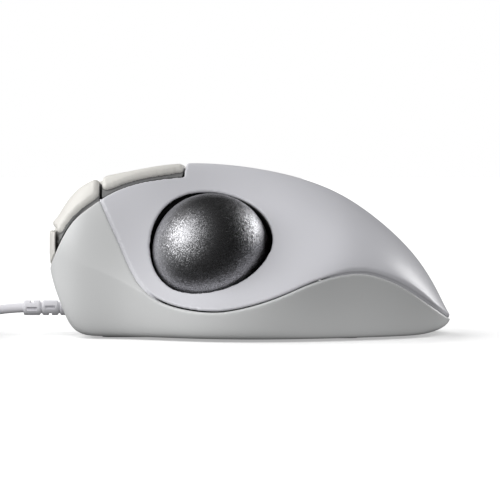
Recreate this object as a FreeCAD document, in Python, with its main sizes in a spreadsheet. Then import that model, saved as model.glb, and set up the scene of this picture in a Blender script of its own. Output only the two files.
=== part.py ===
"""A wired trackball mouse for the right hand, with the ball under the thumb.

The frame: +Z up, the cord leaves towards -X, the palm end is at +X, and the thumb side is at -Y.
The origin is at the middle of the footprint on the desk. Lengths are in millimetres and angles in degrees.

The casing is one loft through cross-sections across X. Every cross-section is five curves: the slope on
the thumb side, the crown, the wall on the finger side, the floor, and the wall under the thumb rest. The two
casing shells and the keys are cut from that loft along the seam lines. Everything inside stands on the base
shell, hangs on the carrier of the wheel, or lies on the axis through the ball.
"""

import FreeCAD, Part

import math
import os
import re

import Sketcher

V = FreeCAD.Vector
UP = V(0, 0, 1)
ALONG_X = V(1, 0, 0)
ALONG_Y = V(0, 1, 0)
FAR = 200.0

doc = FreeCAD.newDocument("trackball_mouse")
subparts = []

# ---------------------------------------------------------------- driving dimensions

DIMENSIONS = {
    "body_length": 117.6,
    "body_width": 84.0,
    "body_height": 50.45,
    "wall": 2.0,
    "key_wall": 3.2,
    "skirt_inset": 2.25,
    "skirt_drop": 1.8,
    "seam_gap": 0.3,
    "key_gap": 0.55,
    "key_lift": 1.35,
    "key_arc": 90.0,
    "key_rear": -17.7,
    "tongue": 3.5,
    "nose_top": 30.6,
    "nose_gap": 0.8,
    "rocker_front": -42.9,
    "rocker_inner": -7.25,
    "spine_left": 3.5,
    "spine_right": 15.0,
    "slot_front": -54.6,
    "slot_rear": -29.4,
    "slot_width": 8.6,
    "foot_height": 0.8,
    "foot_recess": 0.3,
    "foot_length": 14.0,
    "foot_width": 6.0,
    "foot_corner": 2.4,
    "foot_margin": 0.1,
    "case_post_radius": 2.6,
    "case_post_foot": 5.2,
    "case_boss_radius": 3.2,
    "case_boss_height": 5.0,
    "board_post_radius": 2.4,
    "pilot_depth": 9.0,
    "counterbore_depth": 2.6,
    "counterbore_gap": 0.3,
    "shank_gap": 0.2,
    "ball_diameter": 34.0,
    "ball_x": -11.2,
    "ball_y": -22.0,
    "ball_z": 24.9,
    "ball_tilt": 37.0,
    "ball_clearance": 0.6,
    "cup_wall": 1.6,
    "bead_diameter": 2.5,
    "bead_clearance": 0.02,
    "bead_pocket": 0.03,
    "lens_diameter": 5.8,
    "lens_start": 17.7,
    "chip_start": 19.65,
    "sensor_start": 21.1,
    "sensor_size": 14.0,
    "sensor_chip_size": 7.0,
    "sensor_board_thickness": 1.2,
    "bead_boss_radius": 2.2,
    "bead_boss_length": 5.0,
    "cup_leg_radius": 1.2,
    "cup_leg_aside": 5.4,
    "wheel_diameter": 24.0,
    "wheel_width": 7.0,
    "wheel_x": -42.0,
    "wheel_y": 9.0,
    "wheel_z": 32.6,
    "tyre_depth": 2.4,
    "axle_diameter": 3.0,
    "running": 0.05,
    "carrier_width": 12.0,
    "carrier_inside": 8.8,
    "board_thickness": 1.6,
    "board_height": 16.0,
    "switch_length": 12.8,
    "switch_width": 5.8,
    "switch_height": 6.5,
    "plunger_height": 0.6,
    "switch_x": -45.0,
    "left_switch_y": -4.0,
    "right_switch_y": 22.0,
    "wheel_switch_x": -28.0,
    "dpi_x": -22.5,
    "dpi_y": 9.2,
    "dpi_top": 45.7,
    "dpi_diameter": 5.5,
    "tact_size": 4.4,
    "tact_height": 4.0,
    "shelf_height": 36.8,
    "shelf_thickness": 1.4,
    "shelf_front": 7.7,
    "shelf_length": 11.5,
    "shelf_right": -7.5,
    "shelf_width": 22.5,
    "lug_outer": -13.6,
    "lug_inner": -9.0,
    "lug_thickness": 1.2,
    "lug_length": 3.0,
    "rocker_x": -32.3,
    "rocker_pin_z": 41.6,
    "rocker_switch_y": -12.0,
    "rocker_spread": 5.0,
    "rocker_rib": 1.6,
    "rocker_rib_foot": 41.9,
    "pin_diameter": 1.5,
    "pin_length": 5.8,
    "key_post_radius": 1.2,
    "key_post_height": 22.0,
    "cable_diameter": 2.8,
    "cable_y": 3.0,
    "cable_z": 7.6,
    "relief_diameter": 4.4,
    "relief_front": -67.0,
    "relief_rear": -46.5,
    "coil_x": -105.0,
    "coil_y": -17.3,
    "coil_inner": 14.7,
    "coil_outer": 20.3,
    "coil_layers": 4.0,
    "grip_front": -126.0,
    "grip_length": 22.0,
    "grip_width": 11.6,
    "grip_height": 7.2,
    "plug_y": 26.0,
    "plug_length": 12.0,
    "plug_width": 12.0,
    "plug_height": 4.5,
    "plug_wall": 0.35,
    "screw_diameter": 1.9,
    "screw_head": 4.0,
}


def make_sheet():
    """The spreadsheet that holds every driving dimension, one alias a row."""
    sheet = doc.addObject("Spreadsheet::Sheet", "Dims")
    for row, (alias, value) in enumerate(DIMENSIONS.items(), start=1):
        sheet.set(f"A{row}", alias)
        sheet.set(f"B{row}", str(value))
        sheet.setAlias(f"B{row}", alias)
    doc.recompute()
    return sheet


sheet = make_sheet()


def expression(text):
    """An expression in the sheet's aliases, with the sheet's name put before each alias."""

    def named(match):
        word = match.group()
        return f"Dims.{word}" if word in DIMENSIONS else word

    return re.sub(r"[a-z_]{3,}", named, text)


def value(text):
    """The number that an expression in the sheet's aliases gives."""
    result = sheet.evalExpression(expression(str(text)))
    return float(getattr(result, "Value", result))


def bind(item, **properties):
    """Ties properties of a document object to the sheet."""
    for name, text in properties.items():
        item.setExpression(name, expression(str(text)))


def place(item, x, y, z, axis=UP):
    """Puts an object's own Z along axis and ties its position to the sheet."""
    item.Placement = FreeCAD.Placement(V(), FreeCAD.Rotation(UP, axis))
    for letter, text in zip("xyz", (x, y, z)):
        item.setExpression(f"Placement.Base.{letter}", expression(str(text)))
    return item


def node(label, item):
    """Registers a finished object as the sub-part of that name."""
    item.Label = label
    subparts.append(item)
    return item


# ---------------------------------------------------------------- primitives and booleans

def box(name, corner, lengths):
    item = doc.addObject("Part::Box", name)
    bind(item, Length=lengths[0], Width=lengths[1], Height=lengths[2])
    return place(item, *corner)


def cylinder(name, radius, height, x, y, z, axis=UP):
    item = doc.addObject("Part::Cylinder", name)
    bind(item, Radius=radius, Height=height)
    return place(item, x, y, z, axis)


def sphere(name, radius, x, y, z):
    item = doc.addObject("Part::Sphere", name)
    bind(item, Radius=radius)
    return place(item, x, y, z)


def fuse(name, *items):
    item = doc.addObject("Part::MultiFuse", name)
    item.Shapes = list(items)
    return item


def common(name, first, second):
    item = doc.addObject("Part::Common", name)
    item.Base = first
    item.Tool = second
    return item


def cut(name, base, *tools):
    item = doc.addObject("Part::Cut", name)
    item.Base = base
    item.Tool = tools[0] if len(tools) == 1 else fuse(name + "Tools", *tools)
    return item


def group(name, items):
    """Separate solids that share one sub-part."""
    item = doc.addObject("Part::Compound", name)
    item.Links = list(items)
    return item


def rounded_box(name, corner, lengths, radius, axis=UP):
    """A box with its edges along one axis rounded."""
    block = box(name + "Block", corner, lengths)
    block.recompute()
    item = doc.addObject("Part::Fillet", name)
    item.Base = block
    edges = enumerate(block.Shape.Edges, start=1)
    chosen = [i for i, edge in edges if abs(edge.tangentAt(edge.FirstParameter).dot(axis)) > 0.99]
    item.Edges = [(i, radius, radius) for i in chosen]
    return item


# ---------------------------------------------------------------- sketches

def origin_plane(body, role):
    return next(plane for plane in body.Origin.OriginFeatures if plane.Role == role)


def sketch_on(body, role, suffix=""):
    sketch = body.newObject("Sketcher::SketchObject", body.Name + "Sketch" + suffix)
    sketch.AttachmentSupport = (origin_plane(body, role), [""])
    sketch.MapMode = "FlatFace"
    return sketch


def fix_point(sketch, geometry, point, u, v):
    """Dimensions one point of a sketch from the origin, tied to the sheet."""
    for kind, text in (("DistanceX", u), ("DistanceY", v)):
        index = sketch.addConstraint(Sketcher.Constraint(kind, -1, 1, geometry, point, value(text)))
        sketch.setExpression(f"Constraints[{index}]", expression(str(text)))


def outline(body, role, corners, suffix=""):
    """A closed outline of straight edges; every corner is two expressions."""
    sketch = sketch_on(body, role, suffix)
    points = [V(value(u), value(v), 0) for u, v in corners]
    for start, end in zip(points, points[1:] + points[:1]):
        sketch.addGeometry(Part.LineSegment(start, end), False)
    for i in range(len(points)):
        sketch.addConstraint(Sketcher.Constraint("Coincident", i, 2, (i + 1) % len(points), 1))
    for i, (u, v) in enumerate(corners):
        fix_point(sketch, i, 1, u, v)
    return sketch


def circles(body, role, centres, diameter, suffix):
    """Round holes of one diameter."""
    sketch = sketch_on(body, role, suffix)
    for i, (u, v) in enumerate(centres):
        sketch.addGeometry(Part.Circle(V(value(u), value(v), 0), UP, value(diameter) / 2), False)
        fix_point(sketch, i, 3, u, v)
        index = sketch.addConstraint(Sketcher.Constraint("Diameter", i, value(diameter)))
        sketch.setExpression(f"Constraints[{index}]", expression(str(diameter)))
    return sketch


def revolved(name, profile, x, y, z, axis=UP):
    """A body turned about its own Z; the profile's corners are (radius, height)."""
    body = doc.addObject("PartDesign::Body", name)
    sketch = outline(body, "XZ_Plane", profile)
    turn = body.newObject("PartDesign::Revolution", name + "Revolution")
    turn.Profile = sketch
    turn.ReferenceAxis = (sketch, ["V_Axis"])
    turn.Angle = 360
    return place(body, x, y, z, axis)


def through_pocket(body, sketch):
    """Cuts a sketch through the whole body both ways, and makes sure that it took something off."""
    doc.recompute()
    before = body.Shape.Volume
    pocket = body.newObject("PartDesign::Pocket", sketch.Name + "Pocket")
    pocket.Profile = sketch
    pocket.Type = "ThroughAll"
    pocket.Midplane = True
    doc.recompute()
    if body.Shape.Volume > before - 1e-3:
        raise RuntimeError(f"{pocket.Name} cut nothing")


# ---------------------------------------------------------------- the casing's skin

HALF = 59.0
END = 58.8
LOWEST = value("foot_height")
LONG = value("body_length") / (2 * END)
WIDE = value("body_width") / 84.0
HIGH = value("body_height") / 50.45


def guide(*points):
    """A natural cubic spline through (x, value), smooth in the angle whose cosine is -x / HALF."""
    angles = [math.acos(-x / HALF) for x, _ in points]
    values = [v for _, v in points]
    last = len(points) - 1
    steps = [b - a for a, b in zip(angles, angles[1:])]
    slopes = [(b - a) / step for a, b, step in zip(values, values[1:], steps)]
    upper, right = [0.0] * (last + 1), [0.0] * (last + 1)
    for i in range(1, last):
        pivot = 2 * (steps[i - 1] + steps[i]) - steps[i - 1] * upper[i - 1]
        upper[i] = steps[i] / pivot
        right[i] = (6 * (slopes[i] - slopes[i - 1]) - steps[i - 1] * right[i - 1]) / pivot
    bend = [0.0] * (last + 1)
    for i in range(last - 1, 0, -1):
        bend[i] = right[i] - upper[i] * bend[i + 1]

    def at(x):
        angle = math.acos(-x / HALF)
        i = sum(1 for a in angles[1:-1] if a <= angle)
        step, before, after = steps[i], angles[i + 1] - angle, angle - angles[i]
        cubic = (bend[i] * before**3 + bend[i + 1] * after**3) / (6 * step)
        first = (values[i] / step - bend[i] * step / 6) * before
        second = (values[i + 1] / step - bend[i + 1] * step / 6) * after
        return cubic + first + second

    return at


# The crest of the crown, seen from the side and from above.
RIDGE_Z = guide((-59, 25.4), (-58.7, 28.4), (-58.1, 30.8), (-56.9, 33.4), (-54.3, 38.0), (-50.15, 42.8),
                (-46.6, 45.1), (-41.3, 46.9), (-35.4, 48.1), (-26, 49.8), (-17.7, 50.45), (-8.85, 50.15),
                (2.95, 48.7), (14.75, 46.0), (26.55, 41.3), (38.35, 33.3), (44.25, 28.0), (50.15, 21.2),
                (54.5, 14.3), (57.5, 8.3), (59, 5.0))
RIDGE_Y = guide((-59, 3), (-57, -2), (-53, -8), (-43, -13), (-30, -13), (-12, -7), (6, -4), (24, -1),
                (40, 1), (52, 1), (59, 0))
# The widest line on the thumb side: the rim of the thumb rest.
LEFT_Y = guide((-59, 3), (-58.7, -7), (-58, -13.5), (-56.5, -18.5), (-54, -21.5), (-50, -24), (-44, -25.8),
               (-36, -28), (-28, -32), (-20, -36.5), (-10, -40.5), (0, -42), (10, -41.5), (20, -39.3),
               (30, -35.5), (40, -30), (48, -23.5), (54, -16), (57.5, -9), (59, 0))
LEFT_Z = guide((-59, 25.4), (-56, 24), (-50, 22), (-44, 20), (-36, 16.5), (-28, 12.5), (-20, 9.8),
               (-10.3, 9.4), (0, 10.5), (11.8, 14.4), (20, 18), (28, 20.8), (36.9, 20), (44.3, 16.9),
               (51.6, 11.8), (56, 7.6), (59, 5.0))
# The widest line on the finger side.
RIGHT_Y = guide((-59, 3), (-58.7, 13), (-58, 20.5), (-56.5, 26.5), (-54, 30.2), (-50, 33), (-44, 35.2),
                (-36, 36.8), (-24, 39.3), (-10, 41.2), (2, 42), (12, 41.5), (22, 39.3), (32, 35),
                (42, 28.5), (50, 21), (55, 14), (58, 7), (59, 0))
RIGHT_Z = guide((-59, 25.4), (-56, 23), (-50, 20), (-40, 17), (-20, 14.5), (0, 14), (20, 13.5), (40, 11),
                (52, 7.5), (59, 5.0))
BOTTOM_Z = guide((-59, 25.4), (-58.7, 21.5), (-58.1, 19.2), (-56.6, 14.5), (-54.7, 9.7), (-52.7, 5.2),
                 (-51, 2.9), (-48.5, 1.4), (-44, 0.8), (-30, 0.8), (0, 0.8), (30, 0.8), (44, 0.8),
                 (50, 1.0), (54, 1.7), (57, 2.9), (59, 5.0))
# How the thumb slope leaves its rim: its angle above the horizontal, and how far it holds that direction.
RIM_LEAN = guide((-59, 90), (-50, 88), (-40, 76), (-30, 57), (-20, 42), (-10, 37), (0, 44), (12, 62),
                 (24, 72), (36, 71), (48, 64), (59, 55))
RIM_PULL = guide((-59, 14), (-50, 12), (-40, 11), (-30, 10), (-20, 8), (-10, 8), (0, 8), (12, 8),
                 (24, 7.5), (36, 7), (48, 5), (55, 3), (59, 0.5))
# How flat the crown is on each side of its crest.
CROWN_LEFT = guide((-59, 0.5), (-55, 5), (-50, 7), (-43, 6.5), (-30, 6), (-12, 7), (6, 9), (24, 12),
                   (40, 11), (52, 7), (59, 0.3))
CROWN_RIGHT = guide((-59, 0.5), (-55, 8), (-50, 13), (-43, 15), (-30, 19), (-12, 20), (6, 22), (24, 19),
                    (40, 14), (52, 8), (59, 0.3))
# How far the wall tucks in under the thumb rest.
TUCK = guide((-59, 0), (-40, 0), (-10, 0), (6, 1.2), (16, 3.2), (28, 5), (40, 4.6), (50, 3), (56, 1.4),
             (59, 0))


def section(x, inset):
    """The five curves of a cross-section as (y, z) poles, moved inwards by inset."""
    crest = (RIDGE_Y(x), RIDGE_Z(x) - inset)
    left = (LEFT_Y(x) + inset, LEFT_Z(x))
    right = (RIGHT_Y(x) - inset, RIGHT_Z(x))
    bottom = max(BOTTOM_Z(x), LOWEST) + inset
    lean, pull, tuck = math.radians(RIM_LEAN(x)), RIM_PULL(x), TUCK(x)
    left_drop, right_drop = left[1] - bottom, right[1] - bottom
    left_round = max(0.05, min(1, left_drop / 9))
    right_round = max(0.05, min(1, right_drop / 9))
    left_foot = left[0] + 0.3 * tuck + 1.2 * left_round
    right_foot = right[0] - 2.6 * right_round
    slope = [left, (left[0] + pull * math.cos(lean), left[1] + pull * math.sin(lean)),
             (crest[0] - CROWN_LEFT(x), crest[1]), crest]
    crown = [crest, (crest[0] + CROWN_RIGHT(x), crest[1]),
             (right[0], right[1] + 0.42 * (crest[1] - right[1])), right]
    right_wall = [right, (right[0], right[1] - 0.75 * right_drop),
                  (right_foot + 1.4 * right_round, bottom), (right_foot - 2.0 * right_round, bottom)]
    left_wall = [(left_foot + 2.4 * left_round, bottom), (left_foot - 0.9 * left_round, bottom),
                 (left[0] + tuck + 0.25 * left_round, left[1] - 0.72 * left_drop), left]
    floor = [right_wall[-1], left_wall[0]]
    return [slope, crown, right_wall, floor, left_wall]


def section_wire(x, at_x, inset):
    edges = []
    for poles in section(x, inset):
        points = [V(at_x * LONG, y * WIDE, z * HIGH) for y, z in poles]
        curve = Part.LineSegment(*points) if len(points) == 2 else Part.BezierCurve()
        if len(points) > 2:
            curve.setPoles(points)
        edges.append(curve.toShape())
    return Part.Wire(edges)


def skin(name, inset, front, rear, stations):
    """The casing's outer form, or a smaller one inside it at an inset, as one lofted solid."""
    squeeze = (HALF - inset) / HALF
    first, last = math.acos(-front / HALF), math.acos(-rear / HALF)
    angles = [first + (last - first) * i / (stations - 1) for i in range(stations)]
    wires = [section_wire(-HALF * math.cos(a), -HALF * math.cos(a) * squeeze, inset) for a in angles]
    item = doc.addObject("Part::Feature", name)
    item.Shape = Part.makeLoft(wires, True, False)
    return item


outer_skin = skin("OuterSkin", 0.0, -END, END, 25)
rib_skin = skin("RibSkin", value("wall") / 2, -57.5, 54.5, 21)
inner_skin = skin("InnerSkin", value("wall"), -57.5, 54.5, 21)
skirt_skin = skin("SkirtSkin", value("skirt_inset"), -57.5, 54.5, 21)
key_skin = skin("KeySkin", value("key_wall"), -57.5, 54.5, 21)

# ---------------------------------------------------------------- the seams

# The line where the top case meets the base, on the thumb side and on the finger side, as (x, z).
SEAM_LEFT = [(-43.4, 41.2), (-40.8, 35.3), (-36.7, 26.4), (-31.7, 16.7), (-28.1, 13.1), (-22.7, 10.5),
             (-15.9, 9.1), (-9.1, 8.8), (-2.4, 9.8), (10.6, 14.0), (17.4, 16.9), (24.1, 18.9),
             (28.6, 19.6), (33.2, 19.5), (37.7, 18.3), (42.2, 16.4), (51.2, 10.6), (58.7, 5.2), (62, 3)]
SEAM_RIGHT = [(-45, 34), (-42, 28.5), (-38, 24), (-32, 19.8), (-25, 17), (-15, 14.9), (-5, 14),
              (5, 14), (15, 14.5), (25, 14.2), (35, 13), (43, 11), (50, 9), (56, 6.5), (62, 3)]
# The lip that the keys stand above, as (x, z on the thumb side, z on the finger side).
LIP = [(-64, 12, 13), (-59.5, 21.5, 17.5), (-57, 28.6, 20.8), (-54.8, 32.3, 22.6), (-50.5, 36.3, 25.3),
       (-43.5, 41.1, 28.4), (-33.6, 44.8, 31.2), (-21.2, 47.3, 33.5), (-8, 49, 35)]
LIP_LEFT_Y, LIP_RIGHT_Y = -18.0, 32.0
REACH = 70.0


def side_wire(points, y, shift, lift):
    """The region above a line seen from the side, as a wire in the plane at y."""
    line = [V(x + shift, y, z + lift) for x, z in points]
    curve = Part.BSplineCurve()
    curve.interpolate(line)
    top_end, top_start = V(line[-1].x, y, FAR), V(line[0].x, y, FAR)
    sides = [(line[-1], top_end), (top_end, top_start), (top_start, line[0])]
    return Part.Wire([curve.toShape()] + [Part.LineSegment(a, b).toShape() for a, b in sides])


def above(name, stations, lift=0.0, shift=0.0):
    """All the space above a seam, ruled from one side's line to the next."""
    item = doc.addObject("Part::Feature", name)
    item.Shape = Part.makeLoft([side_wire(line, y, shift, lift) for line, y in stations], True, True)
    return item


def lip_at(y):
    """The lip's line at y, on the ruled surface through its two sides."""
    share = (y - LIP_LEFT_Y) / (LIP_RIGHT_Y - LIP_LEFT_Y)
    return [(x, left + (right - left) * share) for x, left, right in LIP]


def key_arc(name, extra):
    """Everything in front of the round rear edge of the keys, which extra pushes back."""
    radius = f"key_arc + {extra}"
    return cylinder(name, radius, FAR, "key_rear - key_arc", "cable_y", 0)


GAP = value("seam_gap")
SEAM_STATIONS = [(SEAM_LEFT, -REACH), (SEAM_LEFT, -10), (SEAM_RIGHT, 25), (SEAM_RIGHT, REACH)]
LIP_STATIONS = [(lip_at(-REACH), -REACH), (lip_at(REACH), REACH)]
above_seam = above("AboveSeam", SEAM_STATIONS)
above_gap = above("AboveSeamGap", SEAM_STATIONS, lift=-GAP, shift=-GAP)
above_lip = above("AboveLip", LIP_STATIONS)
above_trim = above("AboveTrim", LIP_STATIONS, lift=GAP)
above_key = above("AboveKey", LIP_STATIONS, lift=value("key_lift"))
above_skirt = above("AboveSkirt", LIP_STATIONS, lift=-value("skirt_drop"))

hollow = cut("HollowCasing", outer_skin, inner_skin)

# ---------------------------------------------------------------- the axis through the ball

TILT = math.radians(value("ball_tilt"))
BALL_AXIS = V(0, -math.cos(TILT), math.sin(TILT))


def on_ball_axis(distance, aside="0"):
    """Expressions for a point at a distance from the ball's centre towards its opening, aside along X."""
    return (f"ball_x + {aside}", f"ball_y - cos(ball_tilt) * ({distance})",
            f"ball_z + sin(ball_tilt) * ({distance})")


def ball_cylinder(name, radius, start, end, aside="0"):
    return cylinder(name, radius, f"({end}) - ({start})", *on_ball_axis(start, aside), axis=BALL_AXIS)


def ball_box(name, width, depth, start, end):
    """A box across the ball's axis, between two distances behind the centre."""
    item = doc.addObject("Part::Box", name)
    bind(item, Length=width, Width=depth, Height=f"({end}) - ({start})")
    x, y, z = on_ball_axis(f"-({end})")
    offset = f"({depth}) / 2"
    place(item, f"{x} - ({width}) / 2", f"{y} - sin(ball_tilt) * {offset}",
          f"{z} - cos(ball_tilt) * {offset}")
    item.Placement.Rotation = FreeCAD.Rotation(ALONG_X, 90 - math.degrees(TILT))
    return item


# ---------------------------------------------------------------- the two casing shells

BOARD_SCREWS = [(-49.0, 12.0), (-23.5, 24.0), (-37.5, -14.5)]
CASE_SCREWS = [(-8.0, 26.0), (12.0, 26.0), (38.0, -8.0), (38.0, 14.0)]
FEET = [(-36.0, -12.0), (-36.0, 18.0), (24.0, -17.0), (24.0, 19.0)]


PIN_FIT = "0.02"


def pin_bore(name, clearance):
    """The hole for the rocker's pin, through everything between its lugs."""
    radius = f"pin_diameter / 2 + {clearance}"
    return cylinder(name, radius, "2 * pin_length", "rocker_x", "lug_outer - 2.4", "rocker_pin_z", ALONG_Y)


def make_top_case():
    key_space = common("KeySpace", above_lip, key_arc("KeySpaceArc", "0"))
    panel = cut("TopPanel", common("TopHollow", hollow, above_seam), key_space)
    posts = [cylinder(f"TopPost{i}", "case_post_radius", "body_height", x, y, "case_post_foot")
             for i, (x, y) in enumerate(CASE_SCREWS)]
    shelf = box("RockerShelf", ("rocker_x - shelf_front", "shelf_right - shelf_width", "shelf_height"),
                ("shelf_length", "shelf_width", "shelf_thickness"))
    lugs = [box(f"RockerLug{i}", ("rocker_x - lug_length / 2", y, "shelf_height"),
                ("lug_length", "lug_thickness", "rocker_pin_z + lug_thickness - shelf_height"))
            for i, y in enumerate(("lug_outer", "lug_inner"))]
    ribs = common("TopInside", fuse("TopRibs", *posts, shelf, *lugs), rib_skin)
    pilots = [cylinder(f"TopPilot{i}", "screw_diameter / 2 + running", "pilot_depth", x, y, "case_post_foot")
              for i, (x, y) in enumerate(CASE_SCREWS)]
    opening = ball_cylinder("BallOpening", "ball_diameter / 2 + ball_clearance", "-6", "40")
    bore = pin_bore("RockerPinBore", PIN_FIT)
    return node("top_case", cut("TopCase", fuse("TopCaseSolid", panel, ribs), opening, bore, *pilots))


def foot_block(name, x, y, margin):
    """A desk pad, or with a margin the recess in the base that it is glued into."""
    corner = (f"{x} - foot_length / 2 - {margin}", f"{y} - foot_width / 2 - {margin}", 0)
    lengths = (f"foot_length + 2 * {margin}", f"foot_width + 2 * {margin}", "foot_height + foot_recess")
    return rounded_box(name, corner, lengths, value("foot_corner"))


def make_base_shell():
    tub = cut("BaseTub", cut("BaseBelowSeam", hollow, above_gap), above_lip)
    board_posts = [cylinder(f"BoardPost{i}", "board_post_radius", "board_height", x, y, 0)
                   for i, (x, y) in enumerate(BOARD_SCREWS)]
    bosses = [cylinder(f"CaseBoss{i}", "case_boss_radius", "case_boss_height", x, y, 0)
              for i, (x, y) in enumerate(CASE_SCREWS)]
    inside = common("BaseInside", fuse("BasePosts", *board_posts, *bosses), rib_skin)
    pilots = [cylinder(f"BoardPilot{i}", "screw_diameter / 2 + running", "pilot_depth", x, y,
                       "board_height - pilot_depth") for i, (x, y) in enumerate(BOARD_SCREWS)]
    heads = [cylinder(f"CaseHead{i}", "screw_head / 2 + counterbore_gap", "counterbore_depth", x, y, 0)
             for i, (x, y) in enumerate(CASE_SCREWS)]
    shanks = [cylinder(f"CaseHole{i}", "screw_diameter / 2 + shank_gap", "2 * case_boss_height", x, y, 0)
              for i, (x, y) in enumerate(CASE_SCREWS)]
    recesses = [foot_block(f"FootRecess{i}", x, y, "foot_margin") for i, (x, y) in enumerate(FEET)]
    exit_hole = cylinder("CableHole", "relief_diameter / 2 + running", 20, -66, "cable_y", "cable_z", ALONG_X)
    shell = fuse("BaseSolid", tub, inside)
    return node("base_shell", cut("BaseShell", shell, *pilots, *heads, *shanks, *recesses, exit_hole))


top_case = make_top_case()
base_shell = make_base_shell()

# ---------------------------------------------------------------- the keys and the spine between them


def key_block():
    """Both layers of the keys: the skin that shows, and the skirt inside the lip, with its rear tongue."""
    arc = key_arc("KeyArc", "-key_gap")
    nose = box("NoseClearance", (-FAR, -FAR / 2, 0), (FAR - 55.9, FAR, "nose_top + nose_gap"))
    shown = cut("KeySkinShown", common("KeyFront", common("KeyUpper", outer_skin, above_key), arc), nose)
    tongue = key_arc("TongueArc", "tongue")
    skirt = common("KeySkirt", common("KeySkirtUpper", skirt_skin, above_skirt), tongue)
    return cut("KeyBlock", fuse("KeyLayers", shown, skirt), key_skin)


def plan_box(name, front, rear, left, right):
    """A tall box over a rectangle of the plan."""
    return box(name, (front, left, 0), (f"({rear}) - ({front})", f"({right}) - ({left})", FAR))


keys = key_block()
PLUNGER_TOP = "board_height + board_thickness + switch_height + plunger_height"


def key_post(name, y):
    """The post under a key that presses its switch."""
    post_foot = f"{PLUNGER_TOP} + running"
    post = cylinder(name + "Post", "key_post_radius", "key_post_height", "switch_x", y, post_foot)
    return common(name + "PostTrimmed", post, skirt_skin)


def make_left_button():
    nose_part = plan_box("LeftNosePlan", -80, "rocker_front - key_gap", -60, "spine_left - key_gap")
    finger_part = plan_box("LeftFingerPlan", -46, 5, "rocker_inner + key_gap", "spine_left - key_gap")
    plate = common("LeftPlate", keys, fuse("LeftPlan", nose_part, finger_part))
    return node("left_button", fuse("LeftButton", plate, key_post("Left", "left_switch_y")))


def make_right_button():
    plate = common("RightPlate", keys, plan_box("RightPlan", -80, 5, "spine_right + key_gap", 60))
    return node("right_button", fuse("RightButton", plate, key_post("Right", "right_switch_y")))


def make_rocker():
    """The rocker beside the left button. Nothing of it reaches under the top case, so that it can tilt."""
    plan = plan_box("RockerPlan", "rocker_front", 5, -60, "rocker_inner")
    free = common("RockerAboveLip", plan, above_trim)
    plate = common("RockerPlate", keys, common("RockerFront", free, key_arc("RockerArc", "-key_gap")))
    lug = box("RockerKeyLug", ("rocker_x - 1.4", "rocker_switch_y - 0.1", "rocker_pin_z - lug_thickness"),
              (2.8, 2.8, 7))
    ribs = [box(f"RockerRib{i}", (f"rocker_x + {side} * rocker_spread - rocker_rib / 2",
                                  "rocker_switch_y - rocker_rib / 2", "rocker_rib_foot"),
                ("rocker_rib", "rocker_rib", 6)) for i, side in enumerate((-1, 1))]
    inside = common("RockerRibs", fuse("RockerInside", lug, *ribs), skirt_skin)
    bore = pin_bore("RockerBore", "running")
    return node("rocker_key", cut("RockerKey", fuse("RockerSolid", plate, inside), bore))


def make_spine():
    """The fixed strip between the buttons, with the trim that runs round the nose under them."""
    strip = plan_box("StripPlan", -80, 5, "spine_left", "spine_right")
    trim = box("NoseTrimBox", (-FAR, -FAR / 2, 0), (FAR - 56.4, FAR, "nose_top"))
    band = common("SpineBand", common("SpineAbove", hollow, above_trim), key_arc("SpineArc", "-seam_gap"))
    solid = common("SpineSolid", band, fuse("SpinePlan", strip, trim))
    slot = plan_box("WheelSlot", "slot_front", "slot_rear", "wheel_y - slot_width / 2",
                    "wheel_y + slot_width / 2")
    hole = cylinder("DpiHole", "dpi_diameter / 2 + 0.3", 40, "dpi_x", "dpi_y", 30)
    return node("centre_spine", cut("CentreSpine", solid, slot, hole))


make_left_button()
make_right_button()
make_rocker()
make_spine()

# ---------------------------------------------------------------- the ball and what holds it

CUP_RIM = "4"


def bead_centres():
    """Three points round the ball's axis, where the bearing beads touch the ball."""
    reach = value("ball_diameter / 2 + bead_diameter / 2 + bead_clearance")
    centre = V(value("ball_x"), value("ball_y"), value("ball_z"))
    lift = V(0, math.sin(TILT), math.cos(TILT))
    spread = math.radians(55)
    for turn in (90, 210, 330):
        aside = ALONG_X * math.cos(math.radians(turn)) + lift * math.sin(math.radians(turn))
        direction = aside * math.sin(spread) - BALL_AXIS * math.cos(spread)
        yield centre + direction * reach, direction


def make_ball():
    return node("ball", sphere("Ball", "ball_diameter / 2", "ball_x", "ball_y", "ball_z"))


def make_cup():
    inner = "ball_diameter / 2 + ball_clearance"
    outer = f"{inner} + cup_wall"
    centre = ("ball_x", "ball_y", "ball_z")
    behind = ball_cylinder("CupBehind", FAR / 4, "-40", "0")
    shell = common("CupHalf", sphere("CupOuter", outer, *centre), behind)
    collar = ball_cylinder("CupCollar", outer, "0", CUP_RIM)
    bosses = [cylinder(f"BeadBoss{i}", "bead_boss_radius", "bead_boss_length", *(point - direction * 2.7),
                       axis=direction) for i, (point, direction) in enumerate(bead_centres())]
    legs = [ball_cylinder(f"CupLeg{i}", "cup_leg_radius", "-sensor_start", "-ball_diameter / 2", aside)
            for i, aside in enumerate(("-cup_leg_aside", "cup_leg_aside"))]
    body = common("CupInside", fuse("CupBody", shell, collar, *bosses, *legs), inner_skin)
    room = sphere("CupRoom", inner, *centre)
    mouth = ball_cylinder("CupMouth", inner, "0", "30")
    window = ball_cylinder("CupWindow", "lens_diameter / 2 + running", "-30", "0")
    pockets = [sphere(f"BeadPocket{i}", "bead_diameter / 2 + bead_pocket", *point)
               for i, (point, _) in enumerate(bead_centres())]
    return node("ball_cup", cut("BallCup", body, room, mouth, window, *pockets))


def make_beads():
    beads = [sphere(f"Bead{i}", "bead_diameter / 2", *point) for i, (point, _) in enumerate(bead_centres())]
    return node("bearing_beads", group("BearingBeads", beads))


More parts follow.
